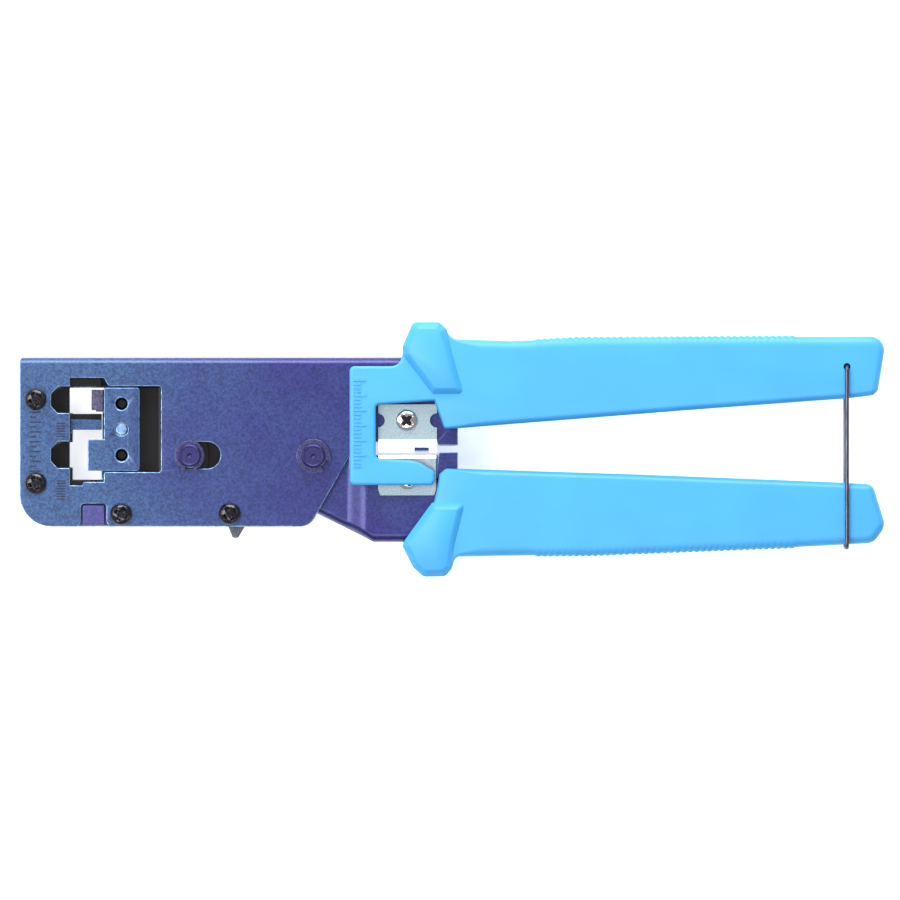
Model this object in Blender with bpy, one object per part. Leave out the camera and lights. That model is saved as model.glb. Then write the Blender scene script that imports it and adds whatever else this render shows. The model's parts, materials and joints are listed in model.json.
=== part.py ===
"""Modular-plug crimping tool with a wire cutter and stripper behind its pivot.

The tool lies on its back: head at -X, handles at +X, working face up (+Z).
Sizes are in millimetres; heights are measured from the tool's middle plane.
"""
import math

import bmesh
import bpy
from mathutils import Matrix, Vector

MM = 0.001
GAP = 0.25            # running and assembly gap between neighbouring pieces
ARC_STEP = math.radians(22.5)
ROUND = 24            # sides of a round piece
SMALL_ROUND = 16      # sides of a small one
SMALL = 2.5           # radius below which a piece is small

# thicknesses, as distances from the middle plane
SHEET = 1.5
PLATE_OUT = 5.8
PLATE_IN = PLATE_OUT - SHEET
CHEEK_OUT = PLATE_IN - 0.3
CHEEK_IN = CHEEK_OUT - SHEET
BLOCK_HALF = PLATE_IN - 0.2
LINK_HALF = CHEEK_IN - 0.3
GRIP_HALF = 9.7
HUMP_HALF = 11.0
PIN_HALF = 9.6

# frame of folded sheet
HEAD_END = -103.9
SPINE_TOP = 22.2
BODY_BOTTOM = -18.5
TANG_END = 62.0
TAB_LEFT = -3.5
TAB_RIGHT = 1.3
TAB_LOW = 0.95

# mechanism: handle pivot, crank pin and slide pin
PIVOT = (-33.4, -1.55)
SLIDE = (-63.1, -1.45)
CRANK_LENGTH = 14.0
CRANK_ANGLE = math.radians(3)
CRANK = (PIVOT[0] - CRANK_LENGTH * math.cos(CRANK_ANGLE),
         PIVOT[1] + CRANK_LENGTH * math.sin(CRANK_ANGLE))
PIVOT_R = 2.85
SLIDE_R = 2.75
CRANK_R = 2.2
SLOT_HALF = 3.2
SLOT_RIGHT = -58.9

# plug nests, die set and window
NEST_LEFT = -91.8
NEST_BACK = -91.2     # back of a nest below the front plate
NEST_DEEP = -92.0     # and beside the latch pockets
LATCHES = (11.95, -1.25)
WINDOW_RIGHT = -70.0
WINDOW_TOP = 15.2
WINDOW_LOW = -5.4
CARRIER_LEFT = -83.65
CARRIER_RIGHT = -75.1
TONGUE_TIP = -87.5
CLAMP_LEFT = -84.2
DIE_X = -79.45
DIE_8P_Y = -1.35
DIE_6P_Y = 11.0
DOWEL_Y = 4.8
SPACER_SCREW = (-79.55, -15.5)
ANCHOR_SCREW = (-53.5, -15.4)
ANVIL_SCREWS = ((-100.1, 12.1), (-100.1, -8.05))

# wire cutter
BLADE_LEFT = -17.85
BLADE_RIGHT = -3.7
BLADE_BACK = PLATE_OUT + 0.15
BLADE_FRONT = BLADE_BACK + 0.9
UPPER_BLADE_SCREW = (-11.0, 7.0)
LOWER_BLADE_SCREW = (-10.8, -7.05)
CUT_LINE = -0.7
CUT_GAP = 0.6

BAIL = (94.6, 19.9)
BAIL_R = 0.5
BAIL_Z = 10.4
BAIL_BOTTOM = -23.5

COLOURS = {
    "blued_steel": ((0.07, 0.09, 0.28), 0.45, 0.6),
    "dark_steel": ((0.04, 0.04, 0.09), 0.4, 0.8),
    "die_steel": ((0.12, 0.15, 0.3), 0.4, 0.8),
    "blade_steel": ((0.55, 0.6, 0.65), 0.3, 1.0),
    "nickel": ((0.7, 0.7, 0.72), 0.2, 1.0),
    "spring_steel": ((0.25, 0.26, 0.28), 0.35, 1.0),
    "grip_plastic": ((0.11, 0.62, 0.95), 0.45, 0.0),
}


# ---------------------------------------------------------------- helpers
def clear_scene():
    """Start with no objects."""
    for obj in list(bpy.data.objects):
        bpy.data.objects.remove(obj)


def paint(obj, finish):
    """A material of the piece's own, in one of the tool's finishes."""
    colour, roughness, metallic = COLOURS[finish]
    material = bpy.data.materials.new(obj.name + "_" + finish)
    material.use_nodes = True
    shader = material.node_tree.nodes["Principled BSDF"]
    shader.inputs["Base Color"].default_value = (*colour, 1.0)
    shader.inputs["Roughness"].default_value = roughness
    shader.inputs["Metallic"].default_value = metallic
    obj.data.materials.clear()
    obj.data.materials.append(material)


def from_bmesh(name, mesh):
    """A closed object from bmesh geometry given in millimetres about the middle plane."""
    bmesh.ops.recalc_face_normals(mesh, faces=mesh.faces[:])
    data = bpy.data.meshes.new(name)
    mesh.to_mesh(data)
    mesh.free()
    data.transform(Matrix.Scale(MM, 4) @ Matrix.Translation((0.0, 0.0, HUMP_HALF)))
    obj = bpy.data.objects.new(name, data)
    bpy.context.collection.objects.link(obj)
    return obj


def outline(*corners):
    """Corners (x, y) or (x, y, radius) joined by lines, with the given corners rounded."""
    points = []
    for index, corner in enumerate(corners):
        here = Vector(corner[:2])
        if len(corner) == 2:
            points.append(here)
            continue
        before = (Vector(corners[index - 1][:2]) - here).normalized()
        after = (Vector(corners[(index + 1) % len(corners)][:2]) - here).normalized()
        half = before.angle(after) / 2
        centre = here + (before + after).normalized() * corner[2] / math.sin(half)
        start = here + before * corner[2] / math.tan(half) - centre
        turn = start.angle_signed(here + after * corner[2] / math.tan(half) - centre)
        steps = max(1, math.ceil(abs(turn) / ARC_STEP))
        for step in range(steps + 1):
            points.append(centre + Matrix.Rotation(-turn * step / steps, 2) @ start)
    return points


def arc(centre, radius, first, last, steps=10):
    """Points on a circle from one angle to another, in degrees."""
    angles = [math.radians(first + (last - first) * step / steps) for step in range(steps + 1)]
    return [(centre[0] + radius * math.cos(a), centre[1] + radius * math.sin(a)) for a in angles]


def slot_outline(left, right, middle, radius):
    """A slot along X with round ends."""
    return arc((right, middle), radius, -90, 90) + arc((left, middle), radius, 90, 270)


def prism(name, points, low, high, rounding=0.0, segments=3):
    """An outline in plan, extruded between two heights, with rounded rims if asked."""
    mesh = bmesh.new()
    face = mesh.faces.new([mesh.verts.new((x, y, low)) for x, y in points])
    grown = bmesh.ops.extrude_face_region(mesh, geom=[face])["geom"]
    moved = [item for item in grown if isinstance(item, bmesh.types.BMVert)]
    bmesh.ops.translate(mesh, verts=moved, vec=(0.0, 0.0, high - low))
    if rounding:
        rims = [edge for edge in mesh.edges if edge.verts[0].co.z == edge.verts[1].co.z]
        bmesh.ops.bevel(mesh, geom=rims, offset=rounding, segments=segments, profile=0.5,
                        affect="EDGES", clamp_overlap=True)
    return from_bmesh(name, mesh)


def box(name, low, high):
    """A block between two corners."""
    points = [(low[0], low[1]), (high[0], low[1]), (high[0], high[1]), (low[0], high[1])]
    return prism(name, points, low[2], high[2])


def rod(name, centre, radius, low, high):
    """A straight cylinder along Z."""
    sides = SMALL_ROUND if radius < SMALL else ROUND
    return lathe(name, centre, [(0, low), (radius, low), (radius, high), (0, high)], sides)


def lathe(name, centre, profile, sides=ROUND):
    """A profile of (radius, height) points, turned about a line along Z."""
    mesh = bmesh.new()
    rings = []
    for radius, height in profile:
        if radius == 0:
            rings.append([mesh.verts.new((centre[0], centre[1], height))])
        else:
            turned = arc(centre, radius, 0, 360, sides)[:-1]
            rings.append([mesh.verts.new((x, y, height)) for x, y in turned])
    for lower, upper in zip(rings, rings[1:]):
        for side in range(sides):
            corners = [lower[side % len(lower)], lower[(side + 1) % len(lower)],
                       upper[(side + 1) % len(upper)], upper[side % len(upper)]]
            mesh.faces.new(list(dict.fromkeys(corners)))
    return from_bmesh(name, mesh)


def combine(target, tool, operation="DIFFERENCE"):
    """Cut, join or trim one solid with another, which is used up."""
    modifier = target.modifiers.new("combine", "BOOLEAN")
    modifier.operation = operation
    modifier.solver = "EXACT"
    modifier.object = tool
    graph = bpy.context.evaluated_depsgraph_get()
    result = bpy.data.meshes.new_from_object(target.evaluated_get(graph))
    target.modifiers.remove(modifier)
    target.data = result
    bpy.data.objects.remove(tool)
    return target


def drill(target, centre, radius, low, high):
    """A round hole along Z."""
    return combine(target, rod("drill", centre, radius, low, high))


def frame_empty(name, at):
    """The parent of one moving body, on its joint axis."""
    empty = bpy.data.objects.new(name, None)
    empty.location = (at[0] * MM, at[1] * MM, HUMP_HALF * MM)
    bpy.context.collection.objects.link(empty)
    return empty


def finish(obj, material, carrier=None):
    """Paint a piece, shade it and hang it on its moving body."""
    paint(obj, material)
    obj.data.shade_smooth()
    obj.data.set_sharp_from_angle(angle=math.radians(30))
    if carrier:
        obj.data.transform(Matrix.Translation(-carrier.location))
        obj.parent = carrier


def tube(name, points, radius):
    """A round wire through points, with filled ends."""
    curve = bpy.data.curves.new(name, "CURVE")
    curve.dimensions = "3D"
    curve.bevel_depth = radius * MM
    curve.bevel_resolution = 2
    curve.use_fill_caps = True
    spline = curve.splines.new("POLY")
    spline.points.add(len(points) - 1)
    for point, (x, y, z) in zip(spline.points, points):
        point.co = (x * MM, y * MM, (z + HUMP_HALF) * MM, 1.0)
    wire = bpy.data.objects.new(name + "_curve", curve)
    bpy.context.collection.objects.link(wire)
    graph = bpy.context.evaluated_depsgraph_get()
    obj = bpy.data.objects.new(name, bpy.data.meshes.new_from_object(wire.evaluated_get(graph)))
    bpy.context.collection.objects.link(obj)
    bpy.data.objects.remove(wire)
    return obj


def channel(name, stations, opening):
    """A folded channel: (x, spine, half width) stations; opening is -1 downward, +1 upward."""
    mesh = bmesh.new()
    rings = []
    for x, spine, half in stations:
        far = 60.0 * opening
        inner = spine + SHEET * opening
        section = outline((far, half), (spine, half, 2.0), (spine, -half, 2.0), (far, -half),
                          (far, SHEET - half), (inner, SHEET - half, 0.6),
                          (inner, half - SHEET, 0.6), (far, half - SHEET))
        rings.append([mesh.verts.new((x, y, z)) for y, z in section])
    for near, away in zip(rings, rings[1:]):
        for side in range(len(near)):
            after = (side + 1) % len(near)
            mesh.faces.new((near[side], near[after], away[after], away[side]))
    mesh.faces.new(rings[0])
    mesh.faces.new(rings[-1])
    return from_bmesh(name, mesh)


# ---------------------------------------------------------------- fixed frame
def window_outline():
    """The plug window, with its step above the ram and its deeper lower left corner."""
    return outline((NEST_LEFT, 17.2), (-83.7, 17.2), (-82.6, WINDOW_TOP, 0.4),
                   (WINDOW_RIGHT, WINDOW_TOP, 0.6), (WINDOW_RIGHT, WINDOW_LOW, 0.6),
                   (-83.7, WINDOW_LOW, 0.3), (-83.7, -7.75, 0.3), (-88.6, -7.75, 0.2),
                   (-88.9, -8.6, 0.2), (NEST_LEFT, -8.6, 0.3))


def rear_window_outline():
    """The rear plate's window: nearer the ram at the right, deeper into the nests at the left."""
    return outline((NEST_DEEP, 14.85), (-71.1, 14.85), (-71.1, -4.9), (-84.4, -4.9),
                   (-84.4, -7.2), (NEST_BACK, -7.2), (NEST_BACK, -4.4), (NEST_DEEP, -4.4),
                   (NEST_DEEP, 1.9), (NEST_BACK, 1.9), (NEST_BACK, 8.8), (NEST_DEEP, 8.8))


def latch_pocket(middle, half):
    """The pocket that takes the plug's latch, with bevelled far corners."""
    return outline((-91.0, middle + half), (-94.6, middle + half), (-96.35, middle + half - 1.8),
                   (-96.35, middle - half + 1.7), (-94.8, middle - half), (-91.0, middle - half))


def body_channel():
    """The folded steel frame: two plates and the spine, cut for the window, slots and pins."""
    body = channel("body_channel", [(HEAD_END, SPINE_TOP, PLATE_OUT),
                                    (TANG_END, SPINE_TOP, PLATE_OUT)], -1)
    plan = outline((HEAD_END, SPINE_TOP + 1), (HEAD_END, BODY_BOTTOM, 7.7),
                   (-34.3, BODY_BOTTOM, 3.9), (-22.8, 1.8, 3.0), (-9.6, 1.8), (-9.6, -0.4),
                   (-5.2, -0.4), (-5.2, 1.8), (TAB_LEFT, 1.8, 0.3),
                   (TAB_LEFT, TAB_LOW, 0.5), (TAB_RIGHT, TAB_LOW, 0.2), (TAB_RIGHT, 7.6, 1.0),
                   (TANG_END, 12.2, 1.0), (TANG_END, SPINE_TOP + 1))
    combine(body, prism("plan", plan, -20, 20), "INTERSECT")
    combine(body, prism("window", window_outline(), 0, 20))
    combine(body, prism("rear_window", rear_window_outline(), -20, 0))
    for middle in LATCHES:
        combine(body, prism("pocket", latch_pocket(middle, 3.17), PLATE_IN - 1, 20))
    notch = outline((-89.2, -30), (-83.1, -30), (-83.1, -13.0, 0.4), (-89.2, -13.0, 0.4))
    combine(body, prism("notch", notch, PLATE_IN - 1, 20))
    slot = slot_outline(SLIDE[0] - 0.4, SLOT_RIGHT, SLIDE[1] + 0.1, SLOT_HALF)
    combine(body, prism("slot", slot, -20, 20))
    drill(body, PIVOT, PIVOT_R + 0.1, -20, 20)
    for place in (*ANVIL_SCREWS, SPACER_SCREW, ANCHOR_SCREW):
        drill(body, place, 1.65, -20, 20)
    drill(body, UPPER_BLADE_SCREW, 1.45, 0, 20)
    finish(body, "blued_steel")


def anvil_block():
    """The block between the plates that backs both plugs: three arms and two latch pockets."""
    edge = -84.3
    plan = outline((HEAD_END + 0.4, 20.4, 0.6), (HEAD_END + 0.4, -12.4, 4.0), (edge, -12.4),
                   (edge, -7.25), (NEST_BACK, -7.25), (NEST_BACK, -4.4), (NEST_DEEP, -4.4),
                   (NEST_DEEP, 1.9), (NEST_BACK, 1.9), (NEST_BACK, 4.75), (edge, 4.75),
                   (edge, 8.6), (NEST_DEEP, 8.6), (NEST_DEEP, 15.1), (edge, 15.1), (edge, 20.4))
    block = prism("anvil_block", plan, -BLOCK_HALF, BLOCK_HALF)
    combine(block, box("bar_top", (NEST_LEFT, 4, 2.6), (-80, 10, 9)))
    combine(block, box("bar_step", (NEST_LEFT, 7.2, 0.4), (-80, 10, 9)))
    for middle in LATCHES:
        combine(block, prism("pocket", latch_pocket(middle, 3.17), -1.6, 9))
    for place in ANVIL_SCREWS:
        drill(block, place, 1.65, -9, 9)
    finish(block, "dark_steel")


def bottom_spacer():
    """The spacer along the lower edge, with a lug that fills the notch in the front plate."""
    spacer = box("bottom_spacer", (-90.5, -18.2, -BLOCK_HALF), (-75.0, -13.1, BLOCK_HALF))
    lug = box("lug", (-88.75, -18.2, 0), (-83.55, -13.45, PLATE_OUT - 0.15))
    combine(spacer, lug, "UNION")
    drill(spacer, SPACER_SCREW, 1.65, -9, 9)
    finish(spacer, "blued_steel")


def spring_anchor():
    """The block that the return spring pushes against, with its nib below the frame."""
    anchor = box("spring_anchor", (-56.6, -18.2, -BLOCK_HALF), (-49.9, -12.6, BLOCK_HALF))
    nib = outline((-53.8, -17), (-53.8, -18.6), (-52.8, -21.2, 0.4), (-51.5, -21.2, 0.4),
                  (-49.95, -18.6), (-49.95, -17))
    combine(anchor, prism("nib", nib, -1.6, 1.6), "UNION")
    drill(anchor, ANCHOR_SCREW, 1.65, -9, 9)
    finish(anchor, "spring_steel")


def cross_recess(centre, reach, low, high):
    """A cross-shaped driver recess."""
    half = 0.42
    arm = [(reach, half), (half, half), (half, reach)]
    points = []
    for quarter in range(4):
        turn = Matrix.Rotation(math.radians(90 * quarter + 20), 2)
        points += [turn @ Vector(point) for point in arm]
    return prism("recess", [(centre[0] + p.x, centre[1] + p.y) for p in points], low, high)


def pan_screw(name, centre, head, shank, seat, tip, material, carrier=None):
    """A pan-head screw: head is (radius, height), from its seat down to its tip."""
    radius, height = head
    side = 1 if seat > tip else -1
    top = seat + side * height
    profile = [(0, tip), (shank * 0.75, tip), (shank, tip + side * 0.5), (shank, seat),
               (radius, seat), (radius, seat + side * height * 0.4),
               (radius * 0.86, seat + side * height * 0.82), (radius * 0.55, top), (0, top)]
    screw = lathe(name, centre, profile, SMALL_ROUND)
    low, high = sorted((top + side, top - side * height * 0.65))
    combine(screw, cross_recess(centre, radius * 0.52, low, high))
    finish(screw, material, carrier)


def head_screws():
    """The four dark screws that hold the blocks between the plates."""
    places = (*ANVIL_SCREWS, SPACER_SCREW, ANCHOR_SCREW)
    names = ("anvil_screw_upper", "anvil_screw_lower", "spacer_screw", "anchor_screw")
    for name, place in zip(names, places):
        pan_screw(name, place, (2.6, 1.6), 1.5, PLATE_OUT + 0.15, -PLATE_OUT - 0.4,
                  "dark_steel")


def grooved_pin(name, centre, radius, carrier=None):
    """A pin right through the tool, with a groove and a bevelled end on each side."""
    half = [(radius, 0), (radius, PLATE_OUT + 0.3), (radius - 0.35, PLATE_OUT + 0.3),
            (radius - 0.35, PLATE_OUT + 1.3), (radius, PLATE_OUT + 1.3),
            (radius, PIN_HALF - 0.4), (radius - 0.4, PIN_HALF), (0, PIN_HALF)]
    profile = [(r, -z) for r, z in reversed(half)] + half[1:]
    pin = lathe(name, centre, profile)
    finish(pin, "dark_steel", carrier)


def retaining_ring(name, centre, inner, outer, side, mouth, carrier=None):
    """An open ring in a pin's groove; mouth is the direction of its gap in degrees."""
    opening = 24
    points = arc(centre, outer, mouth + opening, mouth + 360 - opening, ROUND)
    points += arc(centre, inner, mouth + 360 - opening, mouth + opening, ROUND)
    low, high = sorted((side * (PLATE_OUT + 0.45), side * (PLATE_OUT + 1.15)))
    ring = prism(name, points, low, high)
    finish(ring, "dark_steel", carrier)


def pivot_set():
    """The handle pivot and its two rings."""
    grooved_pin("pivot_pin", PIVOT, PIVOT_R)
    for name, side in (("pivot_ring_front", 1), ("pivot_ring_back", -1)):
        retaining_ring(name, PIVOT, PIVOT_R - 0.2, 4.1, side, -35)


# ---------------------------------------------------------------- grips
def hollow(grip, plan):
    """The socket that a sheet-metal tang fills, open towards the head."""
    return combine(grip, prism("socket", plan, -PLATE_OUT - GAP, PLATE_OUT + GAP))


def hump(name, points):
    """The thicker finger stop at the front of a grip."""
    return prism(name, points, -HUMP_HALF, HUMP_HALF, 1.0, 2)


def guard():
    """The C-shaped guard over the cutter, open towards the handles, on the front only."""
    plan = outline((-24.7, 20.0, 1.2), (-24.7, -8.5, 1.2), (-4.9, -8.5, 0.8),
                   (-4.25, -7.4, 0.8), (-4.25, -5.2, 0.9), (-8.5, -2.7, 6.0), (-18.4, -2.0, 0.8),
                   (-18.4, 10.8, 1.0), (0, 12.0), (0, 24.0), (-11.8, 24.0), (-12.6, 20.0, 2.6))
    return prism("guard", plan, PLATE_OUT + GAP, GRIP_HALF, 0.6, 2)


def upper_grip():
    """The fixed handle's moulded grip, with the finger stop and the cutter guard."""
    plan = outline((-11.7, 24.8), (-9.7, 29.9, 0.8), (-8.2, 30.6, 1.0), (-3.2, 30.6, 1.5),
                   (0.2, 26.5, 3.0), (14, 26.1), (30, 26.8), (104.2, 27.2, 3.4),
                   (101.9, 13.1, 2.2), (95.0, 12.3), (57.0, 9.5),
                   (1.8, 5.15), (-2.0, 4.9, 1.0), (-4.4, 11.7), (-4.4, 20.0), (-12.0, 20.4, 1.0))
    grip = prism("upper_grip", plan, -GRIP_HALF, GRIP_HALF, 2.0)
    stop = outline((-10.7, 22.4), (-11.7, 24.8, 0.5), (-9.7, 29.9, 0.8), (-8.2, 30.6, 1.0),
                   (-3.2, 30.6, 1.5), (-1.6, 29.0, 1.0), (0.0, 22.7, 0.5), (2.7, 14.3, 0.5),
                   (-4.6, 14.3, 0.8))
    combine(grip, hump("finger_stop", stop), "UNION")
    combine(grip, guard(), "UNION")
    room = BLADE_RIGHT + 0.35
    combine(grip, box("blade_room", (-20.4, -30, 0), (room, 12.5, BLADE_FRONT + 0.35)))
    combine(grip, box("screw_room", (-16.4, -30, 0), (room, 0, 8.4)))
    hollow(grip, [(-30, -10), (TAB_RIGHT + GAP, -10), (TAB_RIGHT + GAP, 7.3),
                  (TANG_END + GAP, 11.9), (TANG_END + GAP, SPINE_TOP + GAP),
                  (-30, SPINE_TOP + GAP)])
    for side in (1, -1):
        low, high = sorted((side * 6.0, side * 12.0))
        drill(grip, BAIL, BAIL_R + 0.35, low, high)
    finish(grip, "grip_plastic")


def lower_grip(carrier):
    """The moving handle's moulded grip and finger stop."""
    plan = outline((-1.6, -4.5, 1.2), (-3.2, -5.9, 1.0), (-3.75, -9.7), (-4.5, -12.6, 1.0),
                   (-11.7, -22.1, 0.8), (-12.0, -23.2, 0.8), (-9.9, -28.4, 1.0),
                   (-7.2, -30.6, 1.0), (-2.6, -30.3, 1.2), (0.3, -26.0, 2.0), (10, -25.5),
                   (33, -25.3), (76, -23.6), (101.0, -22.4, 2.5), (103.9, -18.3, 3.0),
                   (100.8, -8.3, 2.2), (90.6, -7.8), (42.6, -5.9))
    grip = prism("lower_grip", plan, -GRIP_HALF, GRIP_HALF, 2.0)
    stop = outline((-4.7, -13.2, 0.8), (-11.2, -21.8, 0.8), (-12.0, -23.2, 0.8),
                   (-9.9, -28.4, 1.0), (-7.2, -30.6, 1.0), (-2.6, -30.3, 1.2), (-1.0, -29.0, 0.6),
                   (0.5, -22.8, 0.5), (2.9, -13.2, 0.5))
    combine(grip, hump("finger_stop", stop), "UNION")
    hollow(grip, [(-30, 0), (TAB_RIGHT + GAP, 0), (TAB_RIGHT + GAP, -7.2),
                  (TANG_END + GAP, -9.6), (TANG_END + GAP, -22.2 - GAP), (-30, -22.2 - GAP)])
    finish(grip, "grip_plastic", carrier)


# ---------------------------------------------------------------- cutter
def blade(name, plan, screw, relief, carrier=None):
    """A flat blade with its screw hole; relief lists the outlines cut from its edges."""
    plate = prism(name, plan, BLADE_BACK, BLADE_FRONT)
    for cut in relief:
        combine(plate, prism("relief", cut, 0, 20))
    drill(plate, screw, 1.4, 0, 20)
    return plate


def ground_edge(plate, line, width, direction):
    """The ground bevel along a blade's cutting edge."""
    mesh = bmesh.new()
    back = line - direction * width
    section = [(back, BLADE_FRONT + 0.01), (line, BLADE_FRONT - 0.55),
               (line + direction, BLADE_FRONT - 0.55), (line + direction, BLADE_FRONT + 1.0),
               (back, BLADE_FRONT + 1.0)]
    near = [mesh.verts.new((-25, y, z)) for y, z in section]
    away = [mesh.verts.new((5, y, z)) for y, z in section]
    mesh.faces.new(near)
    mesh.faces.new(away)
    for side in range(len(section)):
        after = (side + 1) % len(section)
        mesh.faces.new((near[side], near[after], away[after], away[side]))
    return combine(plate, from_bmesh("bevel_cut", mesh))


def cutter_pair(lever):
    """The two blades with their screws and nuts: one on the frame, one on the lever."""
    upper_plan = [(BLADE_LEFT, CUT_LINE), (BLADE_RIGHT, CUT_LINE), (BLADE_RIGHT, 10.9),
                  (BLADE_LEFT, 10.9)]
    notches = [arc((BLADE_LEFT, 7.0), 1.6, 0, 360, ROUND)[:-1],
               arc((BLADE_RIGHT, 7.0), 1.7, 0, 360, ROUND)[:-1],
               [(-9.1, -3), (-5.7, -3), (-5.7, 0.5), (-9.1, 0.5)]]
    upper = blade("upper_blade", upper_plan, UPPER_BLADE_SCREW, notches)
    ground_edge(upper, CUT_LINE, 3.2, -1)
    finish(upper, "blade_steel")
    edge = CUT_LINE - CUT_GAP
    lower_plan = [(BLADE_LEFT, edge), (BLADE_LEFT, -9.6), (BLADE_LEFT + 0.5, -11.0),
                  (-4.4, -11.0), (BLADE_RIGHT - 0.2, -9.6), (BLADE_RIGHT - 0.2, edge)]
    lower = blade("lower_blade", lower_plan, LOWER_BLADE_SCREW, [])
    ground_edge(lower, edge, 0.8, 1)
    finish(lower, "blade_steel", lever)
    for name, place, carrier in (("upper_blade", UPPER_BLADE_SCREW, None),
                                 ("lower_blade", LOWER_BLADE_SCREW, lever)):
        pan_screw(name + "_screw", place, (2.5, 1.05), 1.25, BLADE_FRONT + 0.1, 1.6, "nickel",
                  carrier)
        nut = prism(name + "_nut", arc(place, 2.6, 0, 360, 6)[:-1], 2.1, PLATE_IN - 0.2)
        drill(nut, place, 1.4, 0, 9)
        finish(nut, "nickel", carrier)


# ---------------------------------------------------------------- lever
def lever_channel(carrier):
    """The moving lever: a channel that steps out from between the frame's plates."""
    stations = [(-60, -13.6, CHEEK_OUT), (-36, -13.6, CHEEK_OUT), (-25.3, -18.95, CHEEK_OUT),
                (-20.8, -21.2, PLATE_OUT), (-19.0, -22.2, PLATE_OUT), (TANG_END, -22.2, PLATE_OUT)]
    lever = channel("lever_channel", stations, 1)
    plan = outline((CRANK[0] - 4.4, CRANK[1] + 4.4, 4.3), (CRANK[0] - 4.4, CRANK[1] - 4.4, 4.3),
                   (-43.0, -6.5, 3.0), (-39.0, -16.0, 2.0), (-21.0, -26), (TANG_END, -26),
                   (TANG_END, -9.9, 1.0), (TAB_RIGHT, -7.5, 1.0), (TAB_RIGHT, -0.6, 0.2),
                   (TAB_LEFT, -0.6, 0.9), (TAB_LEFT, -1.25), (-20.0, -1.25, 1.0),
                   (-20.0, -5.0, 1.5), (-24.8, -5.0, 0.5), (-24.8, 1.5, 1.5),
                   (-27.0, 4.6, 3.0), (-40.0, 4.6, 3.0))
    combine(lever, prism("plan", plan, -20, 20), "INTERSECT")
    drill(lever, PIVOT, PIVOT_R + 0.1, -20, 20)
    drill(lever, CRANK, CRANK_R + 0.1, -20, 20)
    drill(lever, LOWER_BLADE_SCREW, 1.45, 0, 20)
    finish(lever, "blued_steel", carrier)
    pin = lathe("crank_pin", CRANK, [(0, -3.9), (CRANK_R - 0.3, -3.9), (CRANK_R, -3.6),
                                     (CRANK_R, 3.6), (CRANK_R - 0.3, 3.9), (0, 3.9)],
                SMALL_ROUND)
    finish(pin, "dark_steel", carrier)


def return_spring(carrier):
    """The torsion spring around the pivot, from the anchor to the lever's spine."""
    coil, wire = 4.1, 0.55
    turns = (294, 1302)
    steps = 44
    points = [(-49.0, -12.1, -1.65), (-42.5, -9.0, -1.65)]
    for step in range(steps + 1):
        angle = math.radians(turns[0] + (turns[1] - turns[0]) * step / steps)
        points.append((PIVOT[0] + coil * math.cos(angle), PIVOT[1] + coil * math.sin(angle),
                       -1.65 + 3.3 * step / steps))
    points += [(-30.0, -11.5, 1.65), (-26.2, -15.9, 1.65)]
    finish(tube("return_spring", points, wire), "spring_steel", carrier)


# ---------------------------------------------------------------- ram and dies
def ram_block(carrier):
    """The sliding block: it carries the die set and ends in a fork around the link."""
    plan = outline((CARRIER_LEFT, 15.0, 0.5), (CARRIER_LEFT, -5.15, 0.5),
                   (-73.6, -5.15, 0.6), (-72.4, -6.4, 0.6), (-58.6, -6.4, 3.5),
                   (-58.6, 3.5, 3.5), (-68.0, 3.5, 2.0), (-69.2, 15.0, 1.0))
    block = prism("ram_block", plan, -4.0, 4.0)
    combine(block, box("relief", (CARRIER_RIGHT - 0.2, -20, 0.6), (-70.4, 20, 9)))
    combine(block, box("fork", (-68.1, -20, -CHEEK_IN), (-50, 20, CHEEK_IN)))
    for middle in (DIE_8P_Y, DIE_6P_Y):
        combine(block, box("seat", (-90, middle - 2.1, -2.2), (-75.8, middle + 2.1, 2.2)))
        drill(block, (DIE_X, middle), 1.6, -9, 9)
    drill(block, (DIE_X, DOWEL_Y), 1.55, -9, 9)
    drill(block, SLIDE, SLIDE_R + 0.1, -9, 9)
    finish(block, "dark_steel", carrier)


def die(name, seat, nose, low, high, reach, teeth, tooth, carrier):
    """A crimping die: a shank in the ram and a nose whose rear half is cut into teeth."""
    bottom, top = nose
    body = box(name, (reach, bottom, low), (CARRIER_LEFT - 0.25, top, high))
    shank = box("shank", (CARRIER_LEFT - 2, seat - 1.9, -2.0), (-76.0, seat + 1.9, 2.0))
    combine(body, shank, "UNION")
    pitch = (top - bottom - tooth) / (teeth - 1)
    for index in range(teeth - 1):
        start = bottom + tooth + index * pitch
        combine(body, box("gash", (reach - 1, start, low - 1),
                          (reach + 1.4, start + pitch - tooth, -0.6)))
    drill(body, (DIE_X, seat), 1.6, -9, 9)
    finish(body, "die_steel", carrier)


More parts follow.
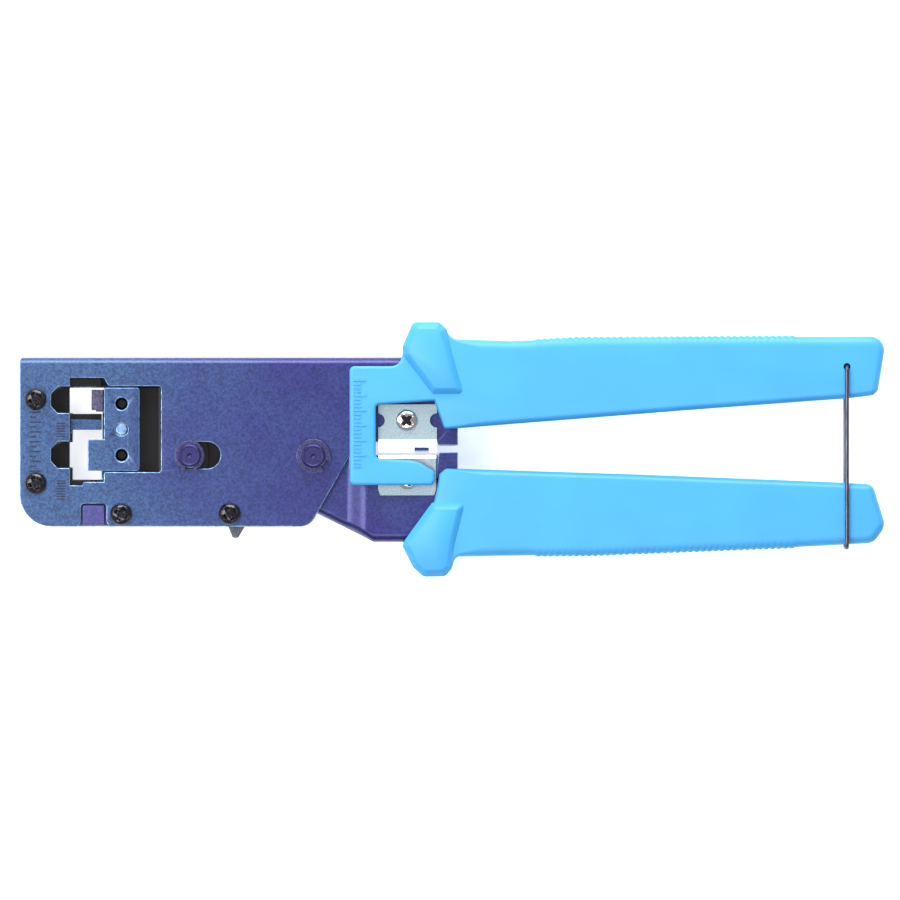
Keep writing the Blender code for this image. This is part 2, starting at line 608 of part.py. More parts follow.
def die_set(carrier):
    """The two dies, the plates that clamp them, their screws and the dowel."""
    clamp = [(CLAMP_LEFT, 14.6, 0.7), (CLAMP_LEFT, -4.65, 0.7), (CARRIER_RIGHT, -4.65, 0.7),
             (CARRIER_RIGHT, 14.6, 0.7)]
    front = [(CARRIER_RIGHT, -5.1, 0.7), (CARRIER_RIGHT, 14.85, 0.7), (CARRIER_LEFT, 14.85, 0.7),
             (CARRIER_LEFT, 2.45), (TONGUE_TIP, 2.45, 0.3), (TONGUE_TIP, -5.1, 0.3)]
    for name, corners, low, high in (("die_carrier", front, 4.2, PLATE_OUT),
                                     ("die_clamp", clamp, -PLATE_OUT, -4.2)):
        plate = prism(name, outline(*corners), low, high)
        for middle in (DIE_8P_Y, DIE_6P_Y):
            drill(plate, (DIE_X, middle), 1.6, -9, 9)
        drill(plate, (DIE_X, DOWEL_Y), 1.55, -9, 9)
        finish(plate, "blued_steel", carrier)
    die("die_8p", DIE_8P_Y, (-4.85, 2.2), -3.9, 3.9, TONGUE_TIP + 0.2, 8, 0.4, carrier)
    die("die_6p", DIE_6P_Y, (9.5, 14.4), -3.9, 3.4, -86.7, 6, 0.38, carrier)
    for name, middle in (("die_screw_8p", DIE_8P_Y), ("die_screw_6p", DIE_6P_Y)):
        pan_screw(name, (DIE_X, middle), (2.6, 1.5), 1.45, -PLATE_OUT - 0.15, 4.6,
                  "dark_steel", carrier)
    finish(rod("die_dowel", (DIE_X, DOWEL_Y), 1.42, -5.6, PLATE_OUT - 0.1), "dark_steel", carrier)


def slide_set(carrier):
    """The pin that joins link and ram and runs in the frame's slots, and its rings."""
    grooved_pin("slide_pin", SLIDE, SLIDE_R, carrier)
    for name, side in (("slide_ring_front", 1), ("slide_ring_back", -1)):
        retaining_ring(name, SLIDE, SLIDE_R - 0.2, 3.6, side, -90, carrier)


def toggle_link(carrier):
    """The link from the crank pin to the slide pin, with an oval eye at the crank end."""
    lean = math.degrees(math.atan2(CRANK[1] - SLIDE[1], CRANK[0] - SLIDE[0]))
    plan = arc(SLIDE, 4.4, lean + 90, lean + 270) + arc(CRANK, 4.6, lean - 90, lean + 90)
    link = prism("toggle_link", plan, -LINK_HALF, LINK_HALF)
    drill(link, SLIDE, SLIDE_R + 0.1, -9, 9)
    eye = slot_outline(CRANK[0] - 0.9, CRANK[0] + 0.3, CRANK[1] + 0.08, CRANK_R + 0.25)
    combine(link, prism("eye", eye, -9, 9))
    finish(link, "dark_steel", carrier)


def latch_bail(carrier):
    """The wire bail: hinged in the upper grip, it hooks under the lower one."""
    bend = 1.1
    corners = [(BAIL[1], 6.4), (BAIL[1], BAIL_Z), (BAIL_BOTTOM, BAIL_Z),
               (BAIL_BOTTOM, -BAIL_Z), (BAIL[1], -BAIL_Z), (BAIL[1], -6.4)]
    route = outline(corners[0], *((y, z, bend) for y, z in corners[1:-1]), corners[-1])
    wire = tube("latch_bail", [(BAIL[0], y, z) for y, z in route], BAIL_R)
    finish(wire, "spring_steel", carrier)


def main():
    """Build every piece of the tool."""
    clear_scene()
    lever = frame_empty("lever_pivot", PIVOT)
    ram = frame_empty("ram_guide", SLIDE)
    link = frame_empty("link_pivot", SLIDE)
    bail = frame_empty("bail_pivot", BAIL)
    body_channel()
    anvil_block()
    bottom_spacer()
    spring_anchor()
    head_screws()
    pivot_set()
    upper_grip()
    lever_channel(lever)
    lower_grip(lever)
    cutter_pair(lever)
    return_spring(lever)
    ram_block(ram)
    die_set(ram)
    slide_set(ram)
    toggle_link(link)
    latch_bail(bail)


main()
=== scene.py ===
"""Looks for the crimping tool: steel, blades, screws, wire and moulded grips around its CAD frame.

Laid out as an add-on, run as a script. Lengths in the code are millimetres unless a name says
otherwise, and heights are measured from the tool's middle plane.
"""
import json
import math

import bmesh
import bpy
import numpy as np
from bpy.props import FloatProperty, FloatVectorProperty, IntProperty, PointerProperty
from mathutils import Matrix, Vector


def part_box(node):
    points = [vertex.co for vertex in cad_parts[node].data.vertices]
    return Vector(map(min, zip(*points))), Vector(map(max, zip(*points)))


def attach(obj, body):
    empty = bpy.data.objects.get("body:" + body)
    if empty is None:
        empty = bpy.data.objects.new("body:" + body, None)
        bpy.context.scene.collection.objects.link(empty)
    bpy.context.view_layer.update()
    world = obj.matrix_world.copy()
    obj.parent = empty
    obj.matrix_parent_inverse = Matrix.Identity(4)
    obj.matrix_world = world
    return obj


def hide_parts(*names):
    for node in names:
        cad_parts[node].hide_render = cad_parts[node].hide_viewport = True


bl_info = {
    "name": "Crimping tool looks",
    "version": (1, 0, 0),
    "blender": (4, 5, 0),
    "location": "3D View > Sidebar > Crimping tool",
    "description": "Builds the visible surfaces and finishes of a modular-plug crimping tool",
    "category": "Object",
}

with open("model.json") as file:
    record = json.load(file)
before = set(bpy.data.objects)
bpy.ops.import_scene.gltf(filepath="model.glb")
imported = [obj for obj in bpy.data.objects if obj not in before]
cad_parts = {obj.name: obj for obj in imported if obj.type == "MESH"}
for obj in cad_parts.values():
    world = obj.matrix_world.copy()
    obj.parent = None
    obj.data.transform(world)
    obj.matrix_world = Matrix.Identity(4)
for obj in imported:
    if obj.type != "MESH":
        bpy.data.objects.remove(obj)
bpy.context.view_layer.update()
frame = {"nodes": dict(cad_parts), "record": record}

MM = 0.001
MIDDLE = sum(corner.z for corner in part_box("body_channel")) / 2 / MM


def centre_of(node):
    """A node's middle in plan, in millimetres."""
    low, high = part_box(node)
    return np.array([(low.x + high.x) / 2, (low.y + high.y) / 2]) / MM


def heights_of(node):
    """A node's lowest and highest levels about the middle plane, in millimetres."""
    low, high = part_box(node)
    return low.z / MM - MIDDLE, high.z / MM - MIDDLE


PLATE = heights_of("body_channel")[1]
PIVOT = centre_of("pivot_pin")
SLIDE = centre_of("slide_pin")
GRIP = 9.7
SPINE_TOP = 22.2
HEAD_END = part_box("body_channel")[0].x / MM
TANG_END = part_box("body_channel")[1].x / MM
BODY_BOTTOM = -18.5


# ------------------------------------------------------------------ settings
def linear(code):
    """An sRGB hex colour as linear red, green and blue."""
    parts = [int(code[at:at + 2], 16) / 255 for at in (1, 3, 5)]
    return tuple(c / 12.92 if c <= 0.04045 else ((c + 0.055) / 1.055) ** 2.4 for c in parts)


def length(title, text, value):
    """A length property in metres from a value in millimetres."""
    return FloatProperty(name=title, description=text, default=value * MM, unit="LENGTH")


def colour(title, text, code):
    """A colour property."""
    return FloatVectorProperty(name=title, description=text, default=linear(code),
                               subtype="COLOR", min=0.0, max=1.0)


class CrimperSizes(bpy.types.PropertyGroup):
    edge: length("Edge break", "Width of the rounding on stamped and milled edges", 0.2)
    rim: length("Grip rim", "Rounding along a grip's outer edge", 2.6)
    serration: length("Serration pitch", "Distance between the grip's serrations", 1.52)
    tooth: length("Serration height", "Height of the grip's serrations", 0.34)
    wire: length("Bail wire", "Diameter of the latch bail's wire", 1.0)
    ticks: IntProperty(name="Gauge ticks", description="Lines of the strip gauge", default=24)


class CrimperColours(bpy.types.PropertyGroup):
    enamel: colour("Enamel", "Baked enamel on the sheet steel", "#3a5c8b")
    enamel_warm: colour("Enamel, warm", "Violet cast within the enamel", "#2d247c")
    black: colour("Black oxide", "Blackened screws, pins and blocks", "#15151f")
    blade: colour("Blade steel", "Blasted flats of the blades", "#a3b6bf")
    nickel: colour("Nickel", "Plated screws", "#d9d8d2")
    wire: colour("Spring wire", "Drawn spring steel", "#5a5d66")
    grip: colour("Grip", "Moulded polypropylene of the grips", "#42a3e3")
    marking: colour("Marking", "Dark printed marks on the frame", "#141436")
    floor: colour("Floor", "Pale table under the tool", "#f4f4f4")


# ------------------------------------------------------------------ materials
def add_node(material, kind, settings=None, **links):
    """Add a shader node, set its sockets or properties, and link the named inputs."""
    tree = material.node_tree
    node = tree.nodes.new(kind)
    for key, value in (settings or {}).items():
        if isinstance(key, int) or key in node.inputs:
            node.inputs[key].default_value = value
        else:
            setattr(node, key, value)
    for key, socket in links.items():
        name = key.replace("_", " ")
        tree.links.new(socket, node.inputs[int(key[2:]) if key.startswith("in") else name])
    return node


def principled(name, base, roughness, metallic, **extra):
    """A material whose Principled shader has its constant values on its own sockets."""
    material = bpy.data.materials.new(name)
    material.use_nodes = True
    shader = material.node_tree.nodes["Principled BSDF"]
    shader.inputs["Base Color"].default_value = (*base, 1.0)
    shader.inputs["Roughness"].default_value = roughness
    shader.inputs["Metallic"].default_value = metallic
    for key, value in extra.items():
        shader.inputs[key.replace("_", " ")].default_value = value
    return material, shader


def connect(material, socket, shader, name):
    """Link one socket to the shader's named input."""
    material.node_tree.links.new(socket, shader.inputs[name])


def object_space(material, scale=(1.0, 1.0, 1.0), at=(0.0, 0.0, 0.0), turn=0.0):
    """The piece's own coordinates, centred on a point, turned about Z and stretched."""
    place = add_node(material, "ShaderNodeTexCoord")
    moved = add_node(material, "ShaderNodeMapping",
                     {"vector_type": "TEXTURE", "Location": at, "Rotation": (0, 0, turn)},
                     Vector=place.outputs["Object"])
    return add_node(material, "ShaderNodeMapping", {"Scale": scale},
                    Vector=moved.outputs["Vector"]).outputs["Vector"]


def grain(material, where, size_mm, detail=2.0, rough=0.6):
    """Noise whose features are about size_mm across."""
    return add_node(material, "ShaderNodeTexNoise",
                    {"Scale": 1.0 / (size_mm * MM), "Detail": detail, "Roughness": rough},
                    Vector=where).outputs["Fac"]


def spread(material, value, low, high, to_low=0.0, to_high=1.0):
    """A value's range mapped onto another range."""
    return add_node(material, "ShaderNodeMapRange",
                    {"From Min": low, "From Max": high, "To Min": to_low, "To Max": to_high},
                    Value=value).outputs["Result"]


def mixed(material, share, first, second):
    """Two colours mixed by a changing share; each is a colour or a socket."""
    node = add_node(material, "ShaderNodeMix", {"data_type": "RGBA"})
    tree = material.node_tree
    tree.links.new(share, node.inputs[0])
    for slot, value in ((6, first), (7, second)):
        if isinstance(value, bpy.types.NodeSocket):
            tree.links.new(value, node.inputs[slot])
        else:
            node.inputs[slot].default_value = (*value, 1.0)
    return node.outputs[2]


def bumped(material, shader, height, depth_mm, strength=1.0, under=None):
    """Relief of the given depth from a height between 0 and 1."""
    node = add_node(material, "ShaderNodeBump", {"Strength": strength, "Distance": depth_mm * MM},
                    Height=height)
    if under is not None:
        material.node_tree.links.new(under, node.inputs["Normal"])
    connect(material, node.outputs["Normal"], shader, "Normal")
    return node.outputs["Normal"]


def tint(base, factor):
    """A colour made lighter or darker."""
    return tuple(min(1.0, part * factor) for part in base)


def toned(material, shader, value, low, high, first, second):
    """Base colour that runs from the first to the second as the value goes from low to high."""
    connect(material, mixed(material, spread(material, value, low, high), first, second), shader,
            "Base Color")


def roughened(material, shader, value, low, high):
    """Roughness that follows the middle of a noise value's range."""
    connect(material, spread(material, value, 0.3, 0.7, low, high), shader, "Roughness")


def baked_enamel_steel(colours):
    """Stamped steel with a thin metallic enamel: satin, with a fine leafing grain.

    The enamel runs lighter and bluer at the head and more violet towards the pivot end, in soft
    drifts: partly the oxide film's own tone, partly a painted sheen of the light from the left."""
    material, shader = principled("baked_enamel_on_stamped_steel", colours.enamel, 0.4, 0.75,
                                  Coat_Weight=0.7, Coat_Roughness=0.28)
    where = object_space(material)
    # leafing pigment gathers in specks about 0.5 mm apart
    specks = grain(material, where, 0.55, 3.0, 0.7)
    clouds = grain(material, where, 26.0, 2.0, 0.5)
    along = add_node(material, "ShaderNodeSeparateXYZ", Vector=where).outputs["X"]
    # painted sheen: mixed lighter and bluer towards the head along X, standing in for the light
    # from the left, over the enamel's own drift of tone
    tone_and_sheen_drift = spread(material, along, -0.1, -0.03, -0.25, 0.85)
    share = add_node(material, "ShaderNodeMath", {"operation": "ADD"}, in0=tone_and_sheen_drift,
                     in1=spread(material, clouds, 0.3, 0.7, -0.25, 0.3)).outputs[0]
    base = mixed(material, spread(material, share, 0.0, 1.0), colours.enamel,
                 colours.enamel_warm)
    dark = add_node(material, "ShaderNodeMix", {"data_type": "RGBA", "blend_type": "MULTIPLY"})
    dark.inputs[7].default_value = (0.42, 0.4, 0.5, 1.0)
    material.node_tree.links.new(spread(material, specks, 0.62, 0.38), dark.inputs[0])
    material.node_tree.links.new(base, dark.inputs[6])
    connect(material, dark.outputs[2], shader, "Base Color")
    roughened(material, shader, specks, 0.34, 0.5)
    bumped(material, shader, grain(material, where, 0.6, 2.0, 0.6), 0.03, 0.35)
    return material


def highlit_rim_steel(colours):
    """The broken edges of the enamelled sheet, coloured pale steel-blue: a painted highlight along
    the edges.
    """
    material, shader = principled("pale_dowel_steel_and_painted_edge_highlight", linear("#7fa6cf"), 0.32, 0.75)
    where = object_space(material)
    # the painted highlight is mottled by a grain about 0.9 mm across
    thin = grain(material, where, 0.9, 3.0, 0.6)
    toned(material, shader, thin, 0.35, 0.7, linear("#9cc0e2"), tint(colours.enamel, 1.3))
    roughened(material, shader, thin, 0.25, 0.45)
    return material


def black_oxide_steel(colours, name="black_oxide_steel", roughness=0.24, size_mm=0.4, code=None,
                      worn_tint=2.0):
    """Steel blackened in a hot salt bath: dark, half gloss, with faint handling marks."""
    black = linear(code) if code else tuple(colours.black)
    material, shader = principled(name, black, roughness, 0.7, Coat_Weight=0.8,
                                  Coat_Roughness=0.08)
    where = object_space(material)
    worn = grain(material, where, size_mm, 3.0, 0.65)
    toned(material, shader, worn, 0.4, 0.75, tint(black, 0.8), tint(black, worn_tint))
    roughened(material, shader, worn, roughness - 0.1, roughness + 0.1)
    bumped(material, shader, worn, 0.02, 0.3)
    return material


def turned_pin_steel(colours, node):
    """A turned and blackened pin end: fine facing rings about its own axis."""
    middle = centre_of(node)
    material, shader = principled("turned_black_steel_" + node, colours.enamel_warm, 0.36, 0.75)
    at = (middle[0] * MM, middle[1] * MM, 0.0)
    where = object_space(material, at=at)
    flat = add_node(material, "ShaderNodeVectorMath", {"operation": "MULTIPLY", 1: (1, 1, 0)},
                    in0=where)
    reach = add_node(material, "ShaderNodeVectorMath", {"operation": "LENGTH"},
                     in0=flat.outputs["Vector"]).outputs["Value"]
    # the facing tool feeds 0.25 mm a turn
    wave = add_node(material, "ShaderNodeMath", {"operation": "SINE"},
                    in0=add_node(material, "ShaderNodeMath",
                                 {"operation": "MULTIPLY", 1: 2 * math.pi / (0.25 * MM)},
                                 in0=reach).outputs[0]).outputs[0]
    dark = grain(material, where, 0.5, 3.0, 0.6)
    toned(material, shader, dark, 0.3, 0.7, linear("#2d2b58"), linear("#3b3a70"))
    bumped(material, shader, spread(material, wave, -1.0, 1.0), 0.01, 0.25)
    return material


def blasted_tool_steel(colours):
    """Hardened blade steel: bead-blasted flats with a mottled grey grain."""
    material, shader = principled("blasted_tool_steel", colours.blade, 0.42, 1.0)
    where = object_space(material)
    fine = grain(material, where, 0.35, 3.0, 0.7)
    broad = grain(material, where, 2.6, 2.0, 0.5)
    mottled = mixed(material, spread(material, fine, 0.35, 0.65), tint(colours.blade, 0.66),
                    tint(colours.blade, 1.1))
    cast = mixed(material, spread(material, broad, 0.35, 0.75, 0.0, 0.3), mottled,
                 linear("#a9b7c4"))
    connect(material, cast, shader, "Base Color")
    roughened(material, shader, fine, 0.34, 0.5)
    bumped(material, shader, fine, 0.02, 0.4)
    return material


def ground_edge_steel():
    """The ground bevel of a blade: bright, with grinding lines square to the edge."""
    material, shader = principled("ground_cutting_edge", linear("#fdfdfb"), 0.42, 0.8)
    # grinding lines lie about 0.12 mm apart, drawn at 0.3 mm so that they show
    where = object_space(material, scale=(1.0, 0.03, 1.0))
    lines = grain(material, where, 0.3, 2.0, 0.5)
    roughened(material, shader, lines, 0.38, 0.48)
    bumped(material, shader, lines, 0.004, 0.2)
    return material


def nickel_plate(colours):
    """Bright nickel over steel: a warm mirror with faint waviness."""
    material, shader = principled("bright_nickel_plate", colours.nickel, 0.16, 1.0)
    where = object_space(material)
    soft = grain(material, where, 0.8, 2.0, 0.5)
    roughened(material, shader, soft, 0.12, 0.24)
    bumped(material, shader, soft, 0.015, 0.3)
    return material


def drawn_spring_wire(colours):
    """Cold-drawn spring wire: grey, with fine draw lines along it."""
    material, shader = principled("drawn_spring_wire", colours.wire, 0.32, 1.0)
    # draw lines run along the wire; they show as streaks 0.15 mm wide and 6 mm long
    where = object_space(material, scale=(1.0, 0.03, 1.0))
    streaks = grain(material, where, 0.15, 2.0, 0.5)
    toned(material, shader, streaks, 0.35, 0.65, tint(colours.wire, 0.6), tint(colours.wire, 1.5))
    roughened(material, shader, streaks, 0.26, 0.4)
    return material


def moulded_polypropylene(colours):
    """Injection-moulded polypropylene: saturated, waxy, from a spark-eroded mould."""
    material, shader = principled("moulded_polypropylene", colours.grip, 0.42, 0.0, IOR=1.49)
    where = object_space(material)
    flow = grain(material, where, 14.0, 2.0, 0.5)
    # spark erosion leaves pits of about 0.2 mm, drawn at 0.45 mm so that they show
    pits = grain(material, where, 0.45, 3.0, 0.65)
    toned(material, shader, flow, 0.35, 0.65, tint(colours.grip, 0.97), tint(colours.grip, 1.03))
    roughened(material, shader, pits, 0.38, 0.5)
    bumped(material, shader, pits, 0.02, 0.35)
    return material


def printed_ink(colours):
    """Pad-printed dark ink: flat, slightly broken by the enamel's grain."""
    material, shader = principled("pad_printed_ink", colours.marking, 0.55, 0.0)
    where = object_space(material)
    thin = grain(material, where, 0.4, 2.0, 0.6)
    toned(material, shader, thin, 0.5, 0.8, colours.marking, tint(colours.enamel, 0.6))
    return material


def opal_table(colours):
    """A pale opal light table, lit evenly from below."""
    material, shader = principled("opal_light_table", colours.floor, 0.9, 0.0)
    shader.inputs["Specular IOR Level"].default_value = 0.1
    shader.inputs["Emission Color"].default_value = (*colours.floor, 1.0)
    shader.inputs["Emission Strength"].default_value = 0.75
    return material


# ------------------------------------------------------------------ surfaces
def metres(points):
    """Millimetres about the middle plane as metres in the tool's frame."""
    return (np.asarray(points, float) + (0.0, 0.0, MIDDLE)) * MM


def solid(name, points, faces):
    """A mesh object at the origin from points in millimetres and faces as index lists."""
    mesh = bpy.data.meshes.new(name)
    mesh.from_pydata(metres(points), [], faces)
    mesh.validate()
    outward(mesh)
    piece = bpy.data.objects.new(name, mesh)
    bpy.context.scene.collection.objects.link(piece)
    return piece


def outward(mesh):
    """Weld doubles and turn every face outwards."""
    work = bmesh.new()
    work.from_mesh(mesh)
    bmesh.ops.remove_doubles(work, verts=work.verts, dist=2e-7)
    bmesh.ops.recalc_face_normals(work, faces=work.faces)
    work.to_mesh(mesh)
    work.free()


def grid_faces(rows, columns, wrap_rows=False):
    """Quads of a grid of points whose rows close on themselves, and its columns if asked."""
    row = np.arange(rows if wrap_rows else rows - 1)
    r, c = (part.ravel() for part in np.meshgrid(row, np.arange(columns), indexing="ij"))
    r2 = (r + 1) % rows
    c2 = (c + 1) % columns
    return np.stack([r * columns + c, r * columns + c2, r2 * columns + c2, r2 * columns + c], 1)


def lofted(name, rings):
    """A solid carried through rings of equal counts of points, with its two ends capped."""
    rings = np.asarray(rings, float)
    rows, count = rings.shape[:2]
    faces = grid_faces(rows, count).tolist()
    faces += [list(range(count))[::-1], list(range((rows - 1) * count, rows * count))]
    return solid(name, rings.reshape(-1, 3), faces)


def outline(*corners, step=8.0, count=0):
    """Corner points joined by lines; a third value rounds its corner with an arc.

    Each arc is the circle tangent to both sides, cut into steps of the given degrees, or
    into the given count."""
    points = []
    for index, corner in enumerate(corners):
        here = np.array(corner[:2], float)
        if len(corner) == 2:
            points.append(here[None])
            continue
        before = np.array(corners[index - 1][:2], float) - here
        after = np.array(corners[(index + 1) % len(corners)][:2], float) - here
        before /= np.linalg.norm(before)
        after /= np.linalg.norm(after)
        half = math.acos(np.clip(before @ after, -1, 1)) / 2
        bisector = (before + after) / np.linalg.norm(before + after)
        centre = here + bisector * corner[2] / math.sin(half)
        start = here + before * corner[2] / math.tan(half) - centre
        turn = math.pi - 2 * half
        turn *= np.sign(before[1] * after[0] - before[0] * after[1])
        cuts = count or max(2, math.ceil(abs(math.degrees(turn)) / step))
        angle = turn * np.arange(cuts + 1) / cuts
        cosine, sine = np.cos(angle), np.sin(angle)
        points.append(centre + np.stack([start[0] * cosine - start[1] * sine,
                                         start[0] * sine + start[1] * cosine], 1))
    return np.concatenate(points)


def circle(centre, radius, count=48, first=0.0, last=360.0):
    """Points round a circle; a full turn leaves out the repeated last point."""
    closed = abs(last - first) >= 360
    angle = np.radians(first + (last - first) * np.arange(count + (not closed)) / count)
    return np.array(centre) + radius * np.stack([np.cos(angle), np.sin(angle)], 1)


def slot_outline(left, right, middle, radius):
    """A slot along X with round ends."""
    return np.concatenate([circle((right, middle), radius, 24, -90, 90),
                           circle((left, middle), radius, 24, 90, 270)])


def extruded(name, points, low, high):
    """An outline in plan carried straight up: walls between two copies, and two flat caps."""
    return lofted(name, [np.column_stack([points, np.full(len(points), z)])
                         for z in (low, high)])


def block(name, low, high):
    """A straight-sided block between two corners."""
    plan = np.array([(low[0], low[1]), (high[0], low[1]), (high[0], high[1]), (low[0], high[1])])
    return extruded(name, plan, low[2], high[2])


def stepped(starts, change, counts):
    """Points along straight runs, each cut into its own count of equal steps."""
    first = np.repeat(starts, counts, axis=0)
    inner = np.arange(counts.sum()) - np.repeat(np.cumsum(counts) - counts, counts)
    share = inner / np.repeat(counts, counts)
    return first + np.repeat(change, counts, axis=0) * share[:, None]


def evened(points, step):
    """The same closed outline with points about one step apart along it, corners kept."""
    change = np.roll(points, -1, axis=0) - points
    runs = np.linalg.norm(change, axis=1)
    return stepped(points, change, np.maximum(1, np.ceil(runs / step - 0.01).astype(int)))


def winding(points):
    """+1 for an outline that runs anticlockwise, -1 for a clockwise one."""
    return np.sign(np.sum(points[:, 0] * np.roll(points[:, 1], -1)
                          - points[:, 1] * np.roll(points[:, 0], -1)))


def normals_of(points):
    """Outward unit normals of a closed outline, averaged between the sides at each point."""
    along = np.roll(points, -1, axis=0) - points
    along /= np.linalg.norm(along, axis=1)[:, None] + 1e-12
    mean = along + np.roll(along, 1, axis=0)
    mean /= np.linalg.norm(mean, axis=1)[:, None] + 1e-12
    return np.stack([mean[:, 1], -mean[:, 0]], 1) * winding(points)


def shrunk(corners, inset):
    """Rounded corners moved inwards until each side has moved by the inset.

    A corner moves along the sum of its sides' inward normals over one plus their product."""
    plan = np.array([corner[:2] for corner in corners], float)
    ahead = np.roll(plan, -1, axis=0) - plan
    ahead /= np.linalg.norm(ahead, axis=1)[:, None]
    normal = np.stack([-ahead[:, 1], ahead[:, 0]], 1) * winding(plan)
    before = np.roll(normal, 1, axis=0)
    across = 1 + np.sum(normal * before, axis=1)[:, None]
    return plan + inset * (normal + before) / across


def sloped_stop(name, corners, half, slope, drop):
    """A finger stop: rounded corners carried between two sloping rims with soft edges.

    The plan shrinks by slope * t while the height gains drop * (1.35 t - 0.35 t^2), t from
    0 to 1, and each corner's radius shrinks with it."""
    share = np.linspace(0, 1, 6)
    level = half - drop * (1 - 1.35 * share + 0.35 * share ** 2)
    rows = []
    for t in share:
        inner = shrunk(corners, slope * t)
        radius = [max(corner[2] - slope * t * 0.5, 0.35) for corner in corners]
        rows.append(outline(*(tuple(at) + (r,) for at, r in zip(inner, radius)), count=8))
    rows = rows[::-1] + rows
    levels = np.concatenate([-level[::-1], level])
    return lofted(name, [np.column_stack([row, np.full(len(row), z)])
                         for row, z in zip(rows, levels)])


def moulding(name, points, low, high, inset, drop, bumps=0.0, rings=7, both=True):
    """A moulded slab: an outline carried up a wall that rolls in over its rims.

    Ring k of a rim lies inset * (1 - cos a) inside the outline and drop * (1 - sin a) from
    the cap, with a from 0 to a quarter turn; bumps push the wall out and fade to the cap."""
    normal = normals_of(points)
    inset = np.broadcast_to(inset, len(points))
    bumps = np.broadcast_to(bumps, len(points))
    quarter = np.linspace(0, math.pi / 2, rings)
    lean = 1 - np.cos(quarter)
    rise = np.sin(quarter)
    foot, tucked = ([low], [0.0])
    if both:
        foot, tucked = (low + drop * (1 - rise[::-1]), lean[::-1])
    levels = np.concatenate([foot, high - drop * (1 - rise)])
    shifts = np.concatenate([tucked, lean])
    fade = 1 - shifts
    move = bumps[None] * fade[:, None] - inset[None] * shifts[:, None]
    plan = points[None] + normal[None] * move[..., None]
    height = np.broadcast_to(levels[:, None, None], (*plan.shape[:2], 1))
    return lofted(name, np.concatenate([plan, height], 2))


def turned(name, centre, profile, count=64, ring=False):
    """A profile of (radius, height) points turned about a line along Z; radius 0 is a pole.

    A ring's profile is closed on itself and never reaches the axis."""
    radius, height = np.array(profile, float).T
    angle = np.linspace(0, 2 * math.pi, count, endpoint=False)
    x = centre[0] + radius[:, None] * np.cos(angle)
    y = centre[1] + radius[:, None] * np.sin(angle)
    z = np.broadcast_to(height[:, None], x.shape)
    points = np.stack([x, y, z], 2).reshape(-1, 3)
    return solid(name, points, grid_faces(len(profile), count, wrap_rows=ring).tolist())


def swept(name, path, radius, sides=16):
    """A round wire: a circle carried along a path on frames that never twist.

    Each frame's side is the last one with its part along the new tangent taken out."""
    path = np.asarray(path, float)
    tangent = np.gradient(path, axis=0)
    tangent /= np.linalg.norm(tangent, axis=1)[:, None]
    side = np.cross(tangent[0], (0.31, 0.52, 0.79))
    sides_of = [side / np.linalg.norm(side)]
    for along in tangent[1:]:
        side = sides_of[-1] - along * (sides_of[-1] @ along)
        sides_of.append(side / np.linalg.norm(side))
    side = np.array(sides_of)
    other = np.cross(tangent, side)
    angle = np.linspace(0, 2 * math.pi, sides, endpoint=False)
    ring = (side[:, None] * np.cos(angle)[None, :, None]
            + other[:, None] * np.sin(angle)[None, :, None])
    ends = [path[0] - tangent[0] * radius * 0.3, path[-1] + tangent[-1] * radius * 0.3]
    body = path[:, None] + ring * radius
    caps = [ends[0] + ring[:1] * radius * 0.6, ends[1] + ring[-1:] * radius * 0.6]
    return lofted(name, np.concatenate([caps[0], body, caps[1]]))


def channel(name, stations, opening, sheet, fold):
    """A folded channel: a U section carried along X through (x, spine, half width) stations.

    opening is -1 for a channel open downwards and +1 for one open upwards."""
    rings = []
    for x, spine, half in stations:
        far = 60.0 * opening
        inner = spine + sheet * opening
        section = outline((far, half), (spine, half, fold), (spine, -half, fold), (far, -half),
                          (far, sheet - half), (inner, sheet - half, fold - sheet + 0.1),
                          (inner, half - sheet, fold - sheet + 0.1), (far, half - sheet))
        rings.append(np.column_stack([np.full(len(section), x), section]))
    return lofted(name, rings)


def combine(piece, tool, operation="DIFFERENCE"):
    """Cut, join or trim one solid with another, which is used up."""
    modifier = piece.modifiers.new("combine", "BOOLEAN")
    modifier.operation = operation
    modifier.solver = "EXACT"
    modifier.object = tool
    graph = bpy.context.evaluated_depsgraph_get()
    result = bpy.data.meshes.new_from_object(piece.evaluated_get(graph))
    piece.modifiers.remove(modifier)
    piece.data = result
    bpy.data.objects.remove(tool)
    return piece


def drill(piece, centre, radius, low, high, count=40):
    """A round hole along Z."""
    return combine(piece, extruded("drill", circle(centre, radius, count), low, high))


def soften(piece, width, angle=32.0, segments=2, finish=-1):
    """Break the sharp edges with a fine bevel, keep flats flat, and finish it if asked."""
    modifier = piece.modifiers.new("edge_break", "BEVEL")
    modifier.width = width
    modifier.segments = segments
    modifier.limit_method = "ANGLE"
    modifier.angle_limit = math.radians(angle)
    modifier.use_clamp_overlap = False
    modifier.loop_slide = False
    modifier.material = finish
    flat = piece.modifiers.new("flat_faces", "WEIGHTED_NORMAL")
    flat.mode = "FACE_AREA"
    flat.weight = 100
    flat.keep_sharp = False
    return piece


def simplify(mesh, gap, angle, delimit=frozenset()):
    """Merge points closer than the gap, merge flat faces, and cut those into triangles."""
    work = bmesh.new()
    work.from_mesh(mesh)
    bmesh.ops.remove_doubles(work, verts=work.verts, dist=gap * MM)
    bmesh.ops.dissolve_limit(work, angle_limit=math.radians(angle), verts=work.verts,
                             edges=work.edges, delimit=set(delimit))
    bmesh.ops.triangulate(work, faces=[face for face in work.faces if len(face.verts) > 4])
    work.to_mesh(mesh)
    work.free()


def smooth(piece, angle=32.0):
    """Shade smooth, with creases sharper than the angle kept."""
    piece.data.shade_smooth()
    piece.data.set_sharp_from_angle(angle=math.radians(angle))


